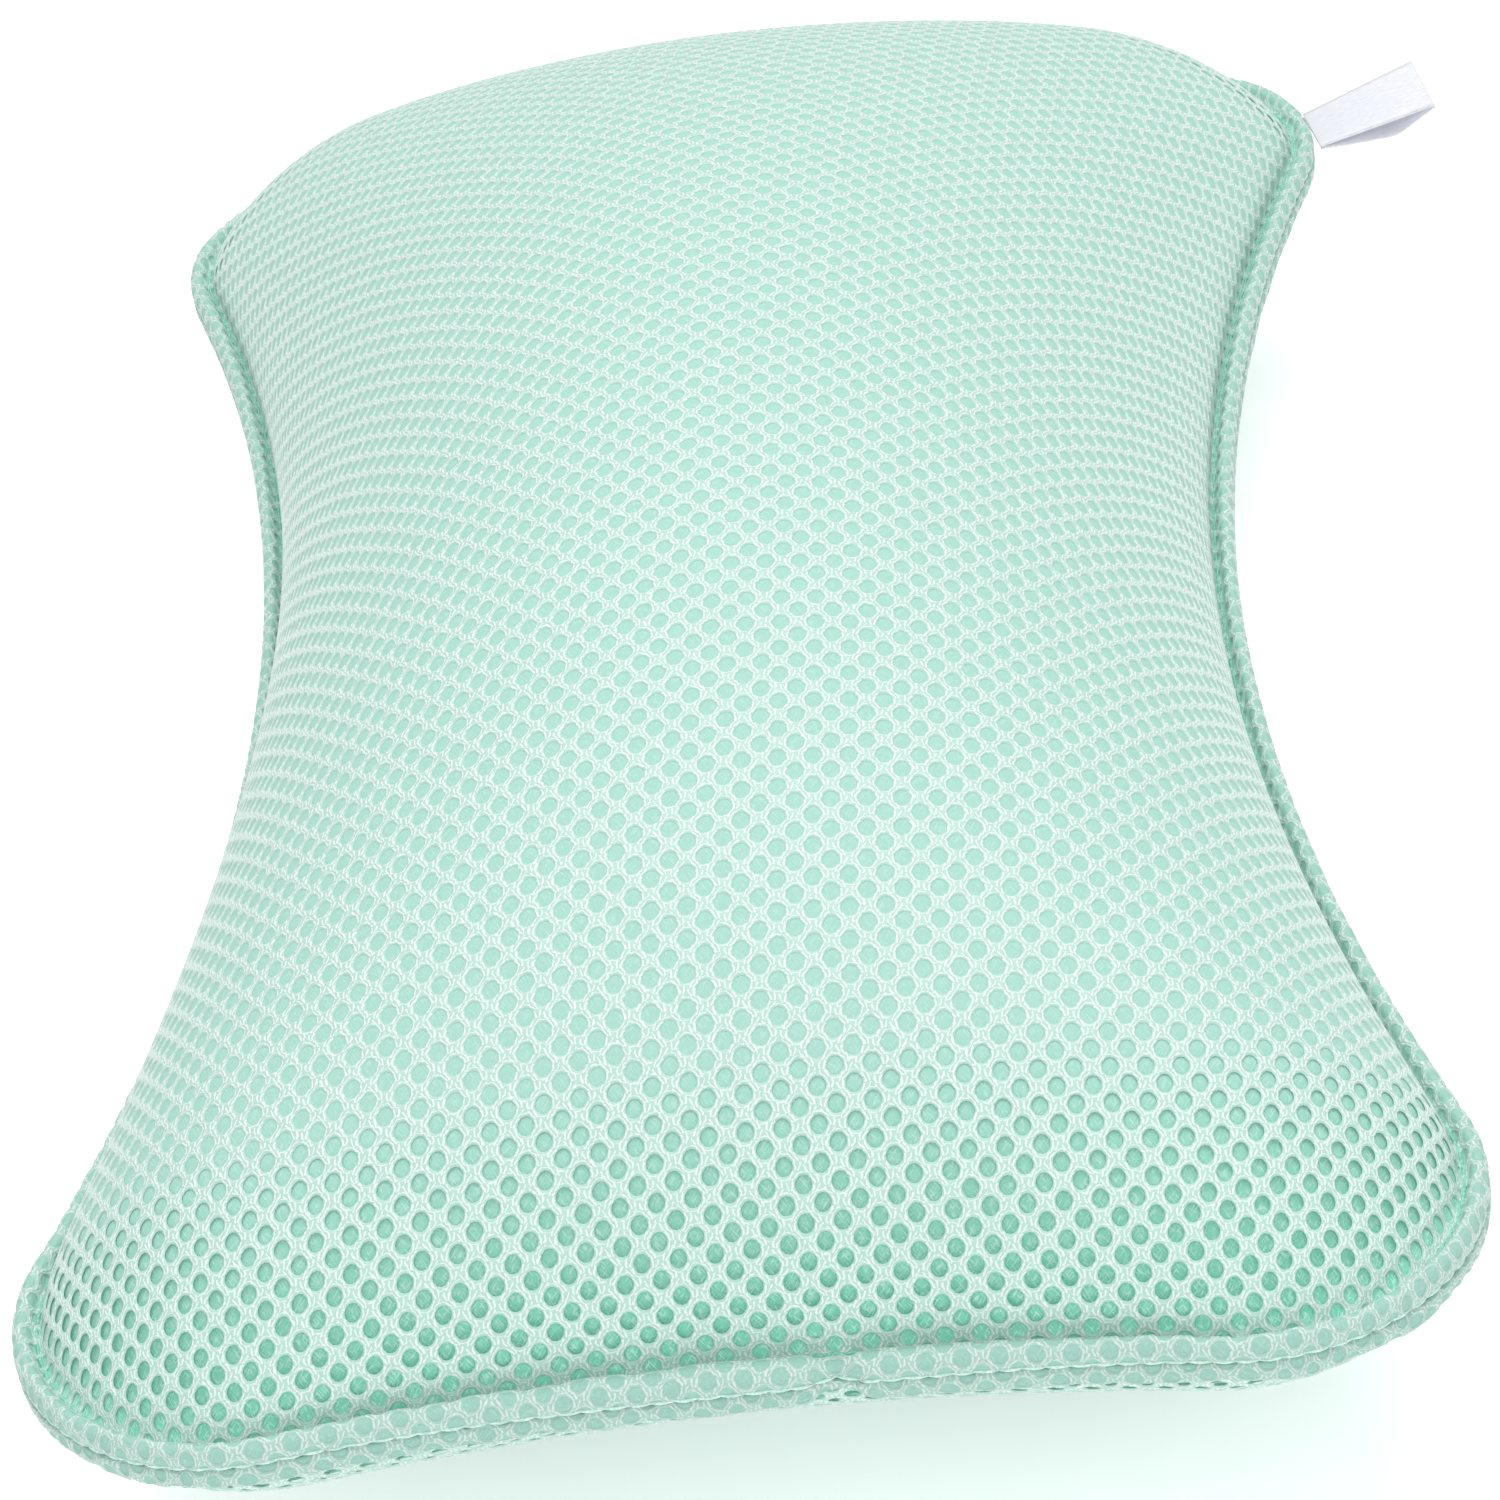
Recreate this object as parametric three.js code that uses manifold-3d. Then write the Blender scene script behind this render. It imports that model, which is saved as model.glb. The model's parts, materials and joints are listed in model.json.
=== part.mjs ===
// Hourglass bath pillow: two panels of spacer mesh sewn round a fibre filling, with a rolled
// flange, a ribbon hanging loop and four suction cups that turn in plastic eyelets on the back.
// Millimetres, +Z up. The origin is under the pillow's centre, on the plane of the cup rims.
// X runs across the pillow and Y along it.

import * as THREE from 'three';
import { mergeVertices } from 'three/addons/utils/BufferGeometryUtils.js';
import Module from 'manifold-3d';

// Outline of the stitched groove, seen from above
const grooveWidth = 187.5;
const grooveLength = 333;
const waistWidth = 143.4;
const cornerRadius = 27.8;
const endSag = 5.5;

// Filled body above and below the flange
const crownHeight = 61.5;
const backDepth = 25.7;
const deckShare = 0.68;
const endRoundness = 2.26;
const sideRoundness = 1.8;
const endDroop = 1.6;

// Spacer mesh panels and the flange rolled from their edges
const panelThickness = 3.2;
const panelEdgeWidth = 4.2;
const stitchedThickness = 1.2;
const stitchGrooveWidth = 1.4;
const endRollWidth = 4.2;
const cornerRollWidth = 2.4;
const waistRollWidth = 2.1;
const rollRise = 3.5;
const rollDrop = 4.4;
const seamNotch = 0.9;
const panelGap = 0.3;
const fillingGap = 0.4;

// Threads
const grooveThreadDiameter = 0.7;
const joiningThreadDiameter = 0.6;
const threadGap = 0.3;

// Suction cups, standing on their rims
const cupRadius = 22;
const cupRimWidth = 1.8;
const cupRimThickness = 0.9;
const cupHollowDepth = 6.2;
const cupShoulderHeight = 8.6;
const cupFlareCurve = 1.6;
const cupHubRadius = 7;
const cupStandHeight = 14;
const stemRadius = 4.3;
const headRadius = 6.2;
const headTopRadius = 3.7;
const headEdgeHeight = 1;
const headHeight = 2.8;

// Eyelets pressed through the back panel
const eyeletFlangeRadius = 9;
const eyeletFlangeThickness = 1.3;
const eyeletBarrelWall = 1.3;
const washerRadius = 9.5;
const washerThickness = 1.2;
const eyeletLip = 0.2;
const runningGap = 0.3;
const pocketGap = 0.5;

// Ribbon hanging loop at a far corner
const ribbonWidth = 12;
const ribbonThickness = 0.6;
const loopLength = 20.5;
const loopNeckLength = 3.4;
const loopBellyStart = 8;
const loopBellyEnd = 16.6;
const loopGap = 5.8;
const loopCornerAngle = 10;
const loopPitch = 13;

// Facets
const sideSteps = 5;
const cornerSteps = 7;
const endSteps = 3;
const rollSteps = 4;
const turnSteps = 24;
const threadSides = 5;
const loopCurveSteps = 5;
const outerRings = [0.2, 0.4, 0.57, 0.72, 0.84, 0.92, 0.97, 1];
const innerRings = [0.22, 0.45, 0.66, 0.82, 0.94, 1];
const flankRings = 4;
const cupHollowRings = [0, 0.35, 0.65, 0.85, 1];
const cupFlareRings = [1, 0.75, 0.45, 0.2, 0];

// Heights and places that follow from the sizes above
const deckHeight = cupStandHeight;
const seamHeight = deckHeight + backDepth + stitchedThickness;
const cornerCentre = new THREE.Vector2(grooveWidth / 2 - cornerRadius, grooveLength / 2 - cornerRadius);
const cupCentre = cornerCentre.clone().multiplyScalar(deckShare);
const eyeletBore = stemRadius + runningGap;
const barrelRadius = eyeletBore + eyeletBarrelWall;
const eyeletBottom = deckHeight - panelGap - eyeletFlangeThickness;
const washerBottom = deckHeight + panelThickness + panelGap;
const washerTop = washerBottom + washerThickness;
const barrelTop = washerTop + eyeletLip;
const headBottom = barrelTop + runningGap;
const headTop = headBottom + headHeight;

const finishes = {
  mesh: { color: 0xbfe6d9, roughness: 0.85 },
  fibre: { color: 0xf2f4f2, roughness: 0.95 },
  thread: { color: 0x9fd4c3, roughness: 0.6 },
  ribbon: { color: 0xf6f6f8, roughness: 0.45 },
  cup: { color: 0xdfeaec, roughness: 0.2 },
  eyelet: { color: 0xeef2f1, roughness: 0.4 },
};

const wasm = await Module();
wasm.setup();

/** Radius of a hollow arc that dips between two corner arcs, and its centre's distance from theirs. */
function hollowArc(halfSpan, dip) {
  const drop = cornerRadius - dip;
  const radius = (drop ** 2 + halfSpan ** 2 - cornerRadius ** 2) / (2 * (cornerRadius - drop));
  return { radius, distance: drop + radius };
}

const sideArc = hollowArc(cornerCentre.y, (grooveWidth - waistWidth) / 2);
const endArc = hollowArc(cornerCentre.x, endSag);

/** Points of one arc, without its last point. */
function arcPoints(centreX, centreY, radius, from, to, steps) {
  const points = [];
  for (let step = 0; step < steps; step += 1) {
    const angle = from + ((to - from) * step) / steps;
    points.push(new THREE.Vector2(centreX + radius * Math.cos(angle), centreY + radius * Math.sin(angle)));
  }
  return points;
}

/**
 * Hourglass outline, anticlockwise from the middle of the right side, moved outwards by offset.
 * Points with the same number lie on one normal, whatever the offset.
 */
function hourglass(offset) {
  const { x, y } = cornerCentre;
  const sideX = x + sideArc.distance;
  const endY = y + endArc.distance;
  const sideAngle = Math.atan2(y, sideArc.distance);
  const endAngle = Math.atan2(x, endArc.distance);
  const quarter = [
    ...arcPoints(sideX, 0, sideArc.radius - offset, Math.PI, Math.PI - sideAngle, sideSteps),
    ...arcPoints(x, y, cornerRadius + offset, -sideAngle, Math.PI / 2 + endAngle, cornerSteps),
    ...arcPoints(0, endY, endArc.radius - offset, endAngle - Math.PI / 2, -Math.PI / 2, endSteps),
    new THREE.Vector2(0, endY - endArc.radius + offset),
  ];
  const left = quarter.slice(0, -1).reverse().map((p) => new THREE.Vector2(-p.x, p.y));
  const far = [...quarter, ...left];
  const near = far.slice(1, -1).map((p) => new THREE.Vector2(-p.x, -p.y));
  return [...far, ...near];
}

const groove = hourglass(0);
const outwards = hourglass(1).map((p, i) => p.clone().sub(groove[i]));

/** Share of a width that is full on a centre line and fades out towards the corners. */
function fade(place, cornerPlace) {
  return Math.cos((Math.PI / 2) * Math.min(Math.abs(place) / cornerPlace, 1)) ** 2;
}

/** Width of the flange's roll at a point of the groove: fullest in the middle of the ends. */
function rollWidthAt(point) {
  const waist = (waistRollWidth - cornerRollWidth) * fade(point.y, cornerCentre.y);
  const end = (endRollWidth - cornerRollWidth) * fade(point.x, cornerCentre.x);
  return cornerRollWidth + waist + end;
}

/** Outline over the flange: a share of the roll's width out from the stitched groove, less an inset. */
function flangeOutline(share, inset = 0) {
  const inner = hourglass(stitchGrooveWidth);
  return inner.map((p, i) => p.addScaledVector(outwards[i], share * rollWidthAt(groove[i]) - inset));
}

/**
 * Distance from a centre line to the outline moved out by offset, at a place along that line.
 * The outline there is the hollow arc between two corners or, further out, a corner itself.
 */
function reachAt(place, arc, halfSpan, cornerReach, offset) {
  const hollow = arc.radius - offset;
  const corner = cornerRadius + offset;
  const meeting = (halfSpan * hollow) / (hollow + corner);
  if (place <= meeting) {
    return cornerReach + arc.distance - Math.sqrt(hollow ** 2 - place ** 2);
  }
  return cornerReach + Math.sqrt(Math.max(corner ** 2 - (place - halfSpan) ** 2, 0));
}

/** Share of the crown's height at a point inside the outline: a cross profile times an end profile. */
function crownShare(x, y, offset) {
  const halfWidth = reachAt(Math.abs(y), sideArc, cornerCentre.y, cornerCentre.x, offset);
  const halfLength = reachAt(Math.abs(x), endArc, cornerCentre.x, cornerCentre.y, offset);
  const cross = Math.max(1 - (x / halfWidth) ** 2, 0) ** (1 / sideRoundness);
  const end = Math.max(1 - (y / halfLength) ** 2, 0) ** (1 / endRoundness);
  return cross * end;
}

/** Share of the back's depth at a share of the way out: a flat deck, then a quarter-round flank. */
function backShare(reach) {
  const flank = Math.max(reach - deckShare, 0) / (1 - deckShare);
  return Math.sqrt(Math.max(1 - flank ** 2, 0));
}

/** Shares of the way out for the rings of the back: the deck's edge, then up the flank. */
function backRings() {
  return Array.from({ length: flankRings + 1 }, (_, k) => {
    const turn = (k / flankRings) * (Math.PI / 2);
    return deckShare + (1 - deckShare) * Math.sin(turn);
  });
}

/** Ring of points on the outline moved out by offset, drawn in to a share of its reach. */
function ring(offset, reach, heightAt) {
  return hourglass(offset).map((p) => {
    const at = p.clone().multiplyScalar(reach);
    return new THREE.Vector3(at.x, at.y, heightAt(at));
  });
}

/** Rings of a crown that rises from base by height over an outline. */
function crownRings(offset, reaches, base, height) {
  return reaches.map((reach) => ring(offset, reach, (p) => base + height * crownShare(p.x, p.y, offset)));
}

/** Rings of a back that drops from base by depth under an outline. */
function backRingSet(offset, base, depth) {
  return backRings().map((reach) => ring(offset, reach, () => base - depth * backShare(reach)));
}

/** Ring over the flange at one height: a share of the roll's width out, less an inset. */
function flangeRing(height, share, inset) {
  return flangeOutline(share, inset).map((p) => new THREE.Vector3(p.x, p.y, height));
}

/** Rings over the rolled edge, from the groove's floor to the outer side; rise is negative below. */
function rollRings(base, rise) {
  return Array.from({ length: rollSteps + 1 }, (_, k) => {
    const angle = Math.PI * (1 - k / rollSteps);
    return flangeRing(base + rise * Math.sin(angle), (1 + Math.cos(angle)) / 2);
  });
}

/** Geometry from flat lists of coordinates and corner numbers. */
function indexedGeometry(coordinates, corners) {
  const geometry = new THREE.BufferGeometry();
  geometry.setAttribute('position', new THREE.Float32BufferAttribute(coordinates, 3));
  geometry.setIndex(corners);
  geometry.computeVertexNormals();
  return geometry;
}

/**
 * Closed body from a pole, rings that all have the same number of points, and another pole.
 * Each four-sided facet is split from its inner ring to its outer ring, so nested bodies stay apart.
 */
function ringBody(firstHeight, rings, lastHeight) {
  const count = rings[0].length;
  const points = [new THREE.Vector3(0, 0, firstHeight), ...rings.flat(), new THREE.Vector3(0, 0, lastHeight)];
  const last = points.length - 1;
  const corners = [];
  for (let i = 0; i < count; i += 1) {
    const next = (i + 1) % count;
    corners.push(0, 1 + i, 1 + next);
    for (let k = 0; k + 1 < rings.length; k += 1) {
      const a = 1 + k * count;
      const b = a + count;
      const widens = rings[k + 1][0].x >= rings[k][0].x;
      corners.push(a + i, b + i, widens ? b + next : a + next);
      corners.push(widens ? a + i : b + i, b + next, a + next);
    }
    const rim = 1 + (rings.length - 1) * count;
    corners.push(last, rim + next, rim + i);
  }
  return indexedGeometry(points.flatMap((p) => p.toArray()), corners);
}

/** Closed ring of thread of a given diameter along an outline's points, at one height. */
function threadLoop(centres, height, diameter) {
  const points = centres.flatMap((p, i) => Array.from({ length: threadSides }, (_, k) => {
    const angle = (2 * Math.PI * k) / threadSides;
    const reach = (diameter / 2) * Math.cos(angle);
    const at = p.clone().addScaledVector(outwards[i], reach);
    return new THREE.Vector3(at.x, at.y, height + (diameter / 2) * Math.sin(angle));
  }));
  const corners = [];
  for (let i = 0; i < centres.length; i += 1) {
    const here = i * threadSides;
    const there = ((i + 1) % centres.length) * threadSides;
    for (let k = 0; k < threadSides; k += 1) {
      const next = (k + 1) % threadSides;
      corners.push(here + k, there + k, there + next);
      corners.push(here + k, there + next, here + next);
    }
  }
  return indexedGeometry(points.flatMap((p) => p.toArray()), corners);
}

/** Solid of revolution about Z from pairs of radius and height that run anticlockwise. */
function turned(profile) {
  const points = profile.map(([radius, height]) => new THREE.Vector2(radius, height));
  return new THREE.LatheGeometry(points, turnSteps).rotateX(Math.PI / 2);
}

/** Solid for joining and cutting, from a closed geometry. */
function toSolid(geometry) {
  const bare = geometry.clone();
  bare.deleteAttribute('normal');
  bare.deleteAttribute('uv');
  const merged = mergeVertices(bare);
  return new wasm.Manifold(new wasm.Mesh({
    numProp: 3,
    vertProperties: Float32Array.from(merged.attributes.position.array),
    triVerts: Uint32Array.from(merged.index.array),
  }));
}

/** Geometry with round holes or pockets cut from it. */
function cutBy(geometry, cutters) {
  const solid = cutters.reduce((body, cutter) => body.subtract(toSolid(cutter)), toSolid(geometry));
  const mesh = solid.getMesh();
  return indexedGeometry(Array.from(mesh.vertProperties), Array.from(mesh.triVerts));
}

/** Cylinder along Z between two heights at each cup's place. */
function cylindersAtCups(radius, low, high) {
  return cupPlaces().map((place) => new THREE.CylinderGeometry(radius, radius, high - low, turnSteps)
    .rotateX(Math.PI / 2)
    .translate(place.x, place.y, (low + high) / 2));
}

/** Places of the four cups: the centres of the round corners of the back's flat deck. */
function cupPlaces() {
  const { x, y } = cupCentre;
  return [[x, y], [-x, y], [-x, -y], [x, -y]].map((p) => new THREE.Vector2(...p));
}

/** How far the soft body hangs below its level at the cups, at a place along it. */
function droopAt(y) {
  return (endDroop * (y ** 2 - cupCentre.y ** 2)) / (grooveLength / 2) ** 2;
}

/** Geometry of a soft piece, let down towards the pillow's ends. */
function drooped(geometry) {
  const places = geometry.attributes.position;
  for (let i = 0; i < places.count; i += 1) {
    places.setZ(i, places.getZ(i) - droopAt(places.getY(i)));
  }
  geometry.computeVertexNormals();
  return geometry;
}

/** Named mesh with a material of its own, in one of the finishes. */
function piece(name, geometry, finish) {
  const mesh = new THREE.Mesh(geometry, new THREE.MeshStandardMaterial({ ...finish, metalness: 0 }));
  mesh.name = name;
  return mesh;
}

/** Front panel: crown, stitched groove and the upper part of the rolled flange. */
function frontPanel() {
  const floor = seamHeight + stitchedThickness;
  const under = seamHeight + panelGap / 2;
  const innerHeight = floor + crownHeight - panelThickness - under;
  const inside = crownRings(-panelEdgeWidth, innerRings, under, innerHeight);
  const rings = [
    ...crownRings(0, outerRings, floor, crownHeight),
    ...rollRings(floor, rollRise - stitchedThickness),
    flangeRing(under, 1, seamNotch),
    ...inside.reverse(),
  ];
  return ringBody(floor + crownHeight, rings, under + innerHeight);
}

/** Back panel: flat deck, round flanks and the lower part of the flange, with the eyelet holes. */
function backPanel() {
  const floor = seamHeight - stitchedThickness;
  const over = seamHeight - panelGap / 2;
  const innerDepth = over - deckHeight - panelThickness;
  const rings = [
    ...backRingSet(-panelEdgeWidth, over, innerDepth),
    flangeRing(over, 1, seamNotch),
    ...rollRings(floor, stitchedThickness - rollDrop).reverse(),
    ...backRingSet(0, floor, backDepth).reverse(),
  ];
  const body = ringBody(over - innerDepth, rings, deckHeight);
  const holes = cylindersAtCups(barrelRadius + runningGap, deckHeight - panelThickness, washerTop);
  return cutBy(body, holes);
}

/** Fibre filling that fits the two panels, with a pocket over each cup's head. */
function fibreFill() {
  const edge = -panelEdgeWidth - fillingGap;
  const top = seamHeight + stitchedThickness + crownHeight - panelThickness - fillingGap;
  const bottom = deckHeight + panelThickness + fillingGap;
  const rings = [
    ...crownRings(edge, innerRings, seamHeight, top - seamHeight),
    ...backRingSet(edge, seamHeight, seamHeight - bottom).slice(0, -1).reverse(),
  ];
  const body = ringBody(top, rings, bottom);
  return cutBy(body, cylindersAtCups(washerRadius + pocketGap, deckHeight, headTop + pocketGap));
}

/** Suction cup with a hollow underside, a hub, a stem and a mushroom head. */
function suctionCup() {
  const hubTop = eyeletBottom - runningGap;
  const rimInside = cupRadius - cupRimWidth;
  const hollow = (share) => cupHollowDepth * (1 - share ** 2);
  const shoulder = cupShoulderHeight - cupRimThickness;
  const flare = (share) => cupRimThickness + shoulder * (1 - share) ** cupFlareCurve;
  return turned([
    ...cupHollowRings.map((share) => [rimInside * share, hollow(share)]),
    [cupRadius, 0],
    ...cupFlareRings.map((share) => [cupHubRadius + (cupRadius - cupHubRadius) * share, flare(share)]),
    [cupHubRadius, hubTop],
    [stemRadius, hubTop],
    [stemRadius, headBottom],
    [headRadius, headBottom],
    [headRadius, headBottom + headEdgeHeight],
    [headTopRadius, headTop],
    [0, headTop],
  ]);
}

/** Eyelet with its flange under the back panel and its barrel through the panel. */
function eyelet() {
  return turned([
    [eyeletBore, eyeletBottom],
    [eyeletFlangeRadius, eyeletBottom],
    [eyeletFlangeRadius, eyeletBottom + eyeletFlangeThickness],
    [barrelRadius, eyeletBottom + eyeletFlangeThickness],
    [barrelRadius, barrelTop],
    [eyeletBore, barrelTop],
    [eyeletBore, eyeletBottom],
  ]);
}

/** Washer pressed on an eyelet's barrel inside the back panel. */
function eyeletWasher() {
  const bore = barrelRadius + runningGap;
  return turned([
    [bore, washerBottom],
    [washerRadius, washerBottom],
    [washerRadius, washerTop],
    [bore, washerTop],
    [bore, washerBottom],
  ]);
}

/** Half of the loop's side view: from the seam out over the belly to the fold, at one sign of Y. */
function loopSide(path, root, neck, belly, fold, sign) {
  path.moveTo(root.x, sign * root.y);
  path.quadraticCurveTo(neck.x, sign * neck.y, loopBellyStart, sign * belly);
  path.lineTo(loopBellyEnd, sign * belly);
  path.quadraticCurveTo(fold, sign * belly, fold, 0);
  return path;
}

/** Points of a loop outline, with one side run out to the fold and the other back. */
function loopPoints(root, neck, belly, fold) {
  const out = loopSide(new THREE.Path(), root, neck, belly, fold, -1).getPoints(loopCurveSteps);
  const back = loopSide(new THREE.Path(), root, neck, belly, fold, 1).getPoints(loopCurveSteps);
  return [...out, ...back.reverse().slice(1)];
}

/** Side view of the ribbon loop: length along X, the gap between its layers along Y. */
function loopOutline() {
  const half = loopGap / 2;
  const neckEnd = loopBellyStart / 2;
  const outer = loopPoints(
    new THREE.Vector2(0, ribbonThickness / 4),
    new THREE.Vector2(neckEnd, ribbonThickness),
    half + ribbonThickness,
    loopLength,
  );
  const inner = loopPoints(
    new THREE.Vector2(loopNeckLength, 0),
    new THREE.Vector2(neckEnd + loopNeckLength / 2, ribbonThickness),
    half,
    loopLength - ribbonThickness,
  );
  const outline = new THREE.Shape(outer);
  outline.holes.push(new THREE.Path(inner.slice(0, -1)));
  return outline;
}

/** Ribbon loop that leaves the flange's seam at the right far corner. */
function hangingLoop() {
  const flangeReach = cornerRadius + stitchGrooveWidth + cornerRollWidth;
  const reach = flangeReach + joiningThreadDiameter / 2 + threadGap;
  const turn = THREE.MathUtils.degToRad(loopCornerAngle);
  const geometry = new THREE.ExtrudeGeometry(loopOutline(), {
    depth: ribbonWidth,
    bevelEnabled: false,
  });
  geometry.translate(0, 0, -ribbonWidth / 2).rotateX(Math.PI / 2);
  const mesh = piece('hanging_loop', geometry, finishes.ribbon);
  mesh.rotation.set(0, -THREE.MathUtils.degToRad(loopPitch), turn, 'ZYX');
  const root = new THREE.Vector2(reach, 0).rotateAround(new THREE.Vector2(), turn).add(cornerCentre);
  mesh.position.set(root.x, root.y, seamHeight - droopAt(root.y));
  return mesh;
}

/** Suction cup, eyelet and washer at one place, numbered. */
function cupGroup(place, number) {
  const group = new THREE.Group();
  group.add(piece(`suction_cup_${number}`, suctionCup(), finishes.cup));
  group.add(piece(`eyelet_${number}`, eyelet(), finishes.eyelet));
  group.add(piece(`eyelet_washer_${number}`, eyeletWasher(), finishes.eyelet));
  group.position.set(place.x, place.y, 0);
  return group;
}

const pillow = new THREE.Group();
pillow.add(piece('front_panel', drooped(frontPanel()), finishes.mesh));
pillow.add(piece('back_panel', drooped(backPanel()), finishes.mesh));
pillow.add(piece('fibre_fill', drooped(fibreFill()), finishes.fibre));

const threadLift = stitchedThickness + threadGap + grooveThreadDiameter / 2;
const grooveMiddle = hourglass(stitchGrooveWidth / 2);
const needleThread = threadLoop(grooveMiddle, seamHeight + threadLift, grooveThreadDiameter);
const bobbinThread = threadLoop(grooveMiddle, seamHeight - threadLift, grooveThreadDiameter);
const joiningThread = threadLoop(flangeOutline(1), seamHeight, joiningThreadDiameter);
pillow.add(piece('needle_thread', drooped(needleThread), finishes.thread));
pillow.add(piece('bobbin_thread', drooped(bobbinThread), finishes.thread));
pillow.add(piece('joining_thread', drooped(joiningThread), finishes.thread));

pillow.add(hangingLoop());
cupPlaces().forEach((place, index) => pillow.add(cupGroup(place, index + 1)));

export default pillow;
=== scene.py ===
"""Looks of an hourglass bath pillow.

Two panels of knitted spacer mesh are sewn together round a fibre filling. Their edges roll into a
plump flange, a satin ribbon hangs from one corner, and suction cups turn in eyelets on the back.
Lengths are in millimetres, and meshes are turned into metres where they are made.
"""

import json
import logging
import math
from collections.abc import Callable, Sequence
from dataclasses import dataclass, field
from enum import Enum
from typing import ClassVar

import bmesh
import bpy
import numpy as np
from bpy.types import Material, Node, NodeSocket, NodeTree, Object
from mathutils import Matrix, Vector
from mathutils.bvhtree import BVHTree


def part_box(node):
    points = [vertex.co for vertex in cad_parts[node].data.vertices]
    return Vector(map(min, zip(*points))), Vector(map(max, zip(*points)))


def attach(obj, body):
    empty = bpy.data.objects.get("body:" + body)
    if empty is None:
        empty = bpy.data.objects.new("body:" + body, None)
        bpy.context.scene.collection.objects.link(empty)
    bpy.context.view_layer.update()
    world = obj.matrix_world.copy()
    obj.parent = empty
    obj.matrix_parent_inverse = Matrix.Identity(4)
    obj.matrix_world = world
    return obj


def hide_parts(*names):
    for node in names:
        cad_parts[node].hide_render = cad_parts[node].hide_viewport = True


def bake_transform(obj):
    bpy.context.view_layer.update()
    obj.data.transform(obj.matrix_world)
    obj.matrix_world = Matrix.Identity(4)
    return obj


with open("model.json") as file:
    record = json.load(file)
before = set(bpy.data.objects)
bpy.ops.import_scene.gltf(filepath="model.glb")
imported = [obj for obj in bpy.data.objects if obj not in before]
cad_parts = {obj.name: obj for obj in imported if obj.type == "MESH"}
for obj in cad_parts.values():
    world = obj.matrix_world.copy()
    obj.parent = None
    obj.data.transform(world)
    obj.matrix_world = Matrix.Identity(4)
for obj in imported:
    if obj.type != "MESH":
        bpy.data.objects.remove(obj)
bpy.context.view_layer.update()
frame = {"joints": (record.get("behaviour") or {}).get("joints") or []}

MM = 0.001
LOG = logging.getLogger("bath_pillow")

Array = np.ndarray
HeightField = Callable[[Array, Array], Array]

# Shorter vectors and smaller areas count as this long and this large, so that none is divided by zero
SHORTEST = 1e-9
SMALLEST_AREA = 1e-12


class Side(Enum):
    """The two faces of the pillow, by the direction that each one faces."""

    FRONT = 1
    BACK = -1


def linear_colour(code: str) -> tuple[float, float, float, float]:
    """Turns an sRGB hex value into a linear colour.

    Args:
        code: Hex value such as "#a0d8c5".

    Returns:
        Linear red, green and blue, and an alpha of 1.
    """
    shares = [int(code[i:i + 2], 16) / 255 for i in (1, 3, 5)]
    red, green, blue = (s / 12.92 if s <= 0.04045 else ((s + 0.055) / 1.055) ** 2.4 for s in shares)
    return red, green, blue, 1.0


def add_node(tree: NodeTree, kind: str, inputs: dict | None = None,
             stops: Sequence[tuple[float, str]] = (), **settings: object) -> Node:
    """Adds a shader node, sets it up and links it.

    Args:
        tree: Node tree that takes the node.
        kind: Blender's name of the node type.
        inputs: Socket name or number, with the value that it takes or the socket that it is linked from.
        stops: Places and hex colours of a colour ramp's two ends.
        **settings: Properties of the node itself.

    Returns:
        The new node.
    """
    node = tree.nodes.new(kind)
    for name, value in settings.items():
        setattr(node, name, value)
    for number, (place, code) in enumerate(stops):
        node.color_ramp.elements[number].position = place
        node.color_ramp.elements[number].color = linear_colour(code)
    for socket, value in (inputs or {}).items():
        if isinstance(value, NodeSocket):
            tree.links.new(value, node.inputs[socket])
        else:
            node.inputs[socket].default_value = value
    return node


def new_material(name: str) -> tuple[Material, NodeTree]:
    """Makes an empty node material.

    Args:
        name: Name of the material.

    Returns:
        The material and its node tree.
    """
    material = bpy.data.materials.new(name)
    material.use_nodes = True
    material.node_tree.nodes.clear()
    return material, material.node_tree


def make_piece(name: str, points: Array, faces: Sequence[Array], material: Material) -> Object:
    """Makes a smooth mesh object.

    Args:
        name: Name of the piece.
        points: Corners in millimetres, one row each.
        faces: Arrays of corner numbers, one array for each number of sides.
        material: Finish of the piece.

    Returns:
        The object, linked to the scene.
    """
    mesh = bpy.data.meshes.new(name)
    mesh.vertices.add(len(points))
    mesh.vertices.foreach_set("co", (np.asarray(points) * MM).astype(np.float32).ravel())
    corners = np.concatenate([np.asarray(f, np.int32).ravel() for f in faces])
    sides = np.concatenate([np.full(len(f), np.asarray(f).shape[1]) for f in faces])
    mesh.loops.add(len(corners))
    mesh.loops.foreach_set("vertex_index", corners)
    mesh.polygons.add(len(sides))
    mesh.polygons.foreach_set("loop_start", (np.cumsum(sides) - sides).astype(np.int32))
    mesh.update(calc_edges=True)
    mesh.shade_smooth()
    mesh.materials.append(material)
    piece = bpy.data.objects.new(name, mesh)
    bpy.context.scene.collection.objects.link(piece)
    LOG.info("%s: %d corners, %d faces", name, len(points), len(sides))
    return piece


def point_values(piece: Object, name: str, values: Array) -> None:
    """Stores one number, or one vector, for each corner of a piece.

    Args:
        piece: Mesh object.
        name: Name of the attribute.
        values: Numbers, or rows of three numbers.
    """
    vector = np.ndim(values) == 2
    attribute = piece.data.attributes.new(name, "FLOAT_VECTOR" if vector else "FLOAT", "POINT")
    attribute.data.foreach_set("vector" if vector else "value", np.asarray(values, np.float32).ravel())


def unit(vectors: Array) -> Array:
    """Brings vectors to a length of 1.

    Args:
        vectors: Vectors along the last axis.

    Returns:
        Their directions.
    """
    return vectors / np.maximum(np.linalg.norm(vectors, axis=-1, keepdims=True), SHORTEST)


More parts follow.
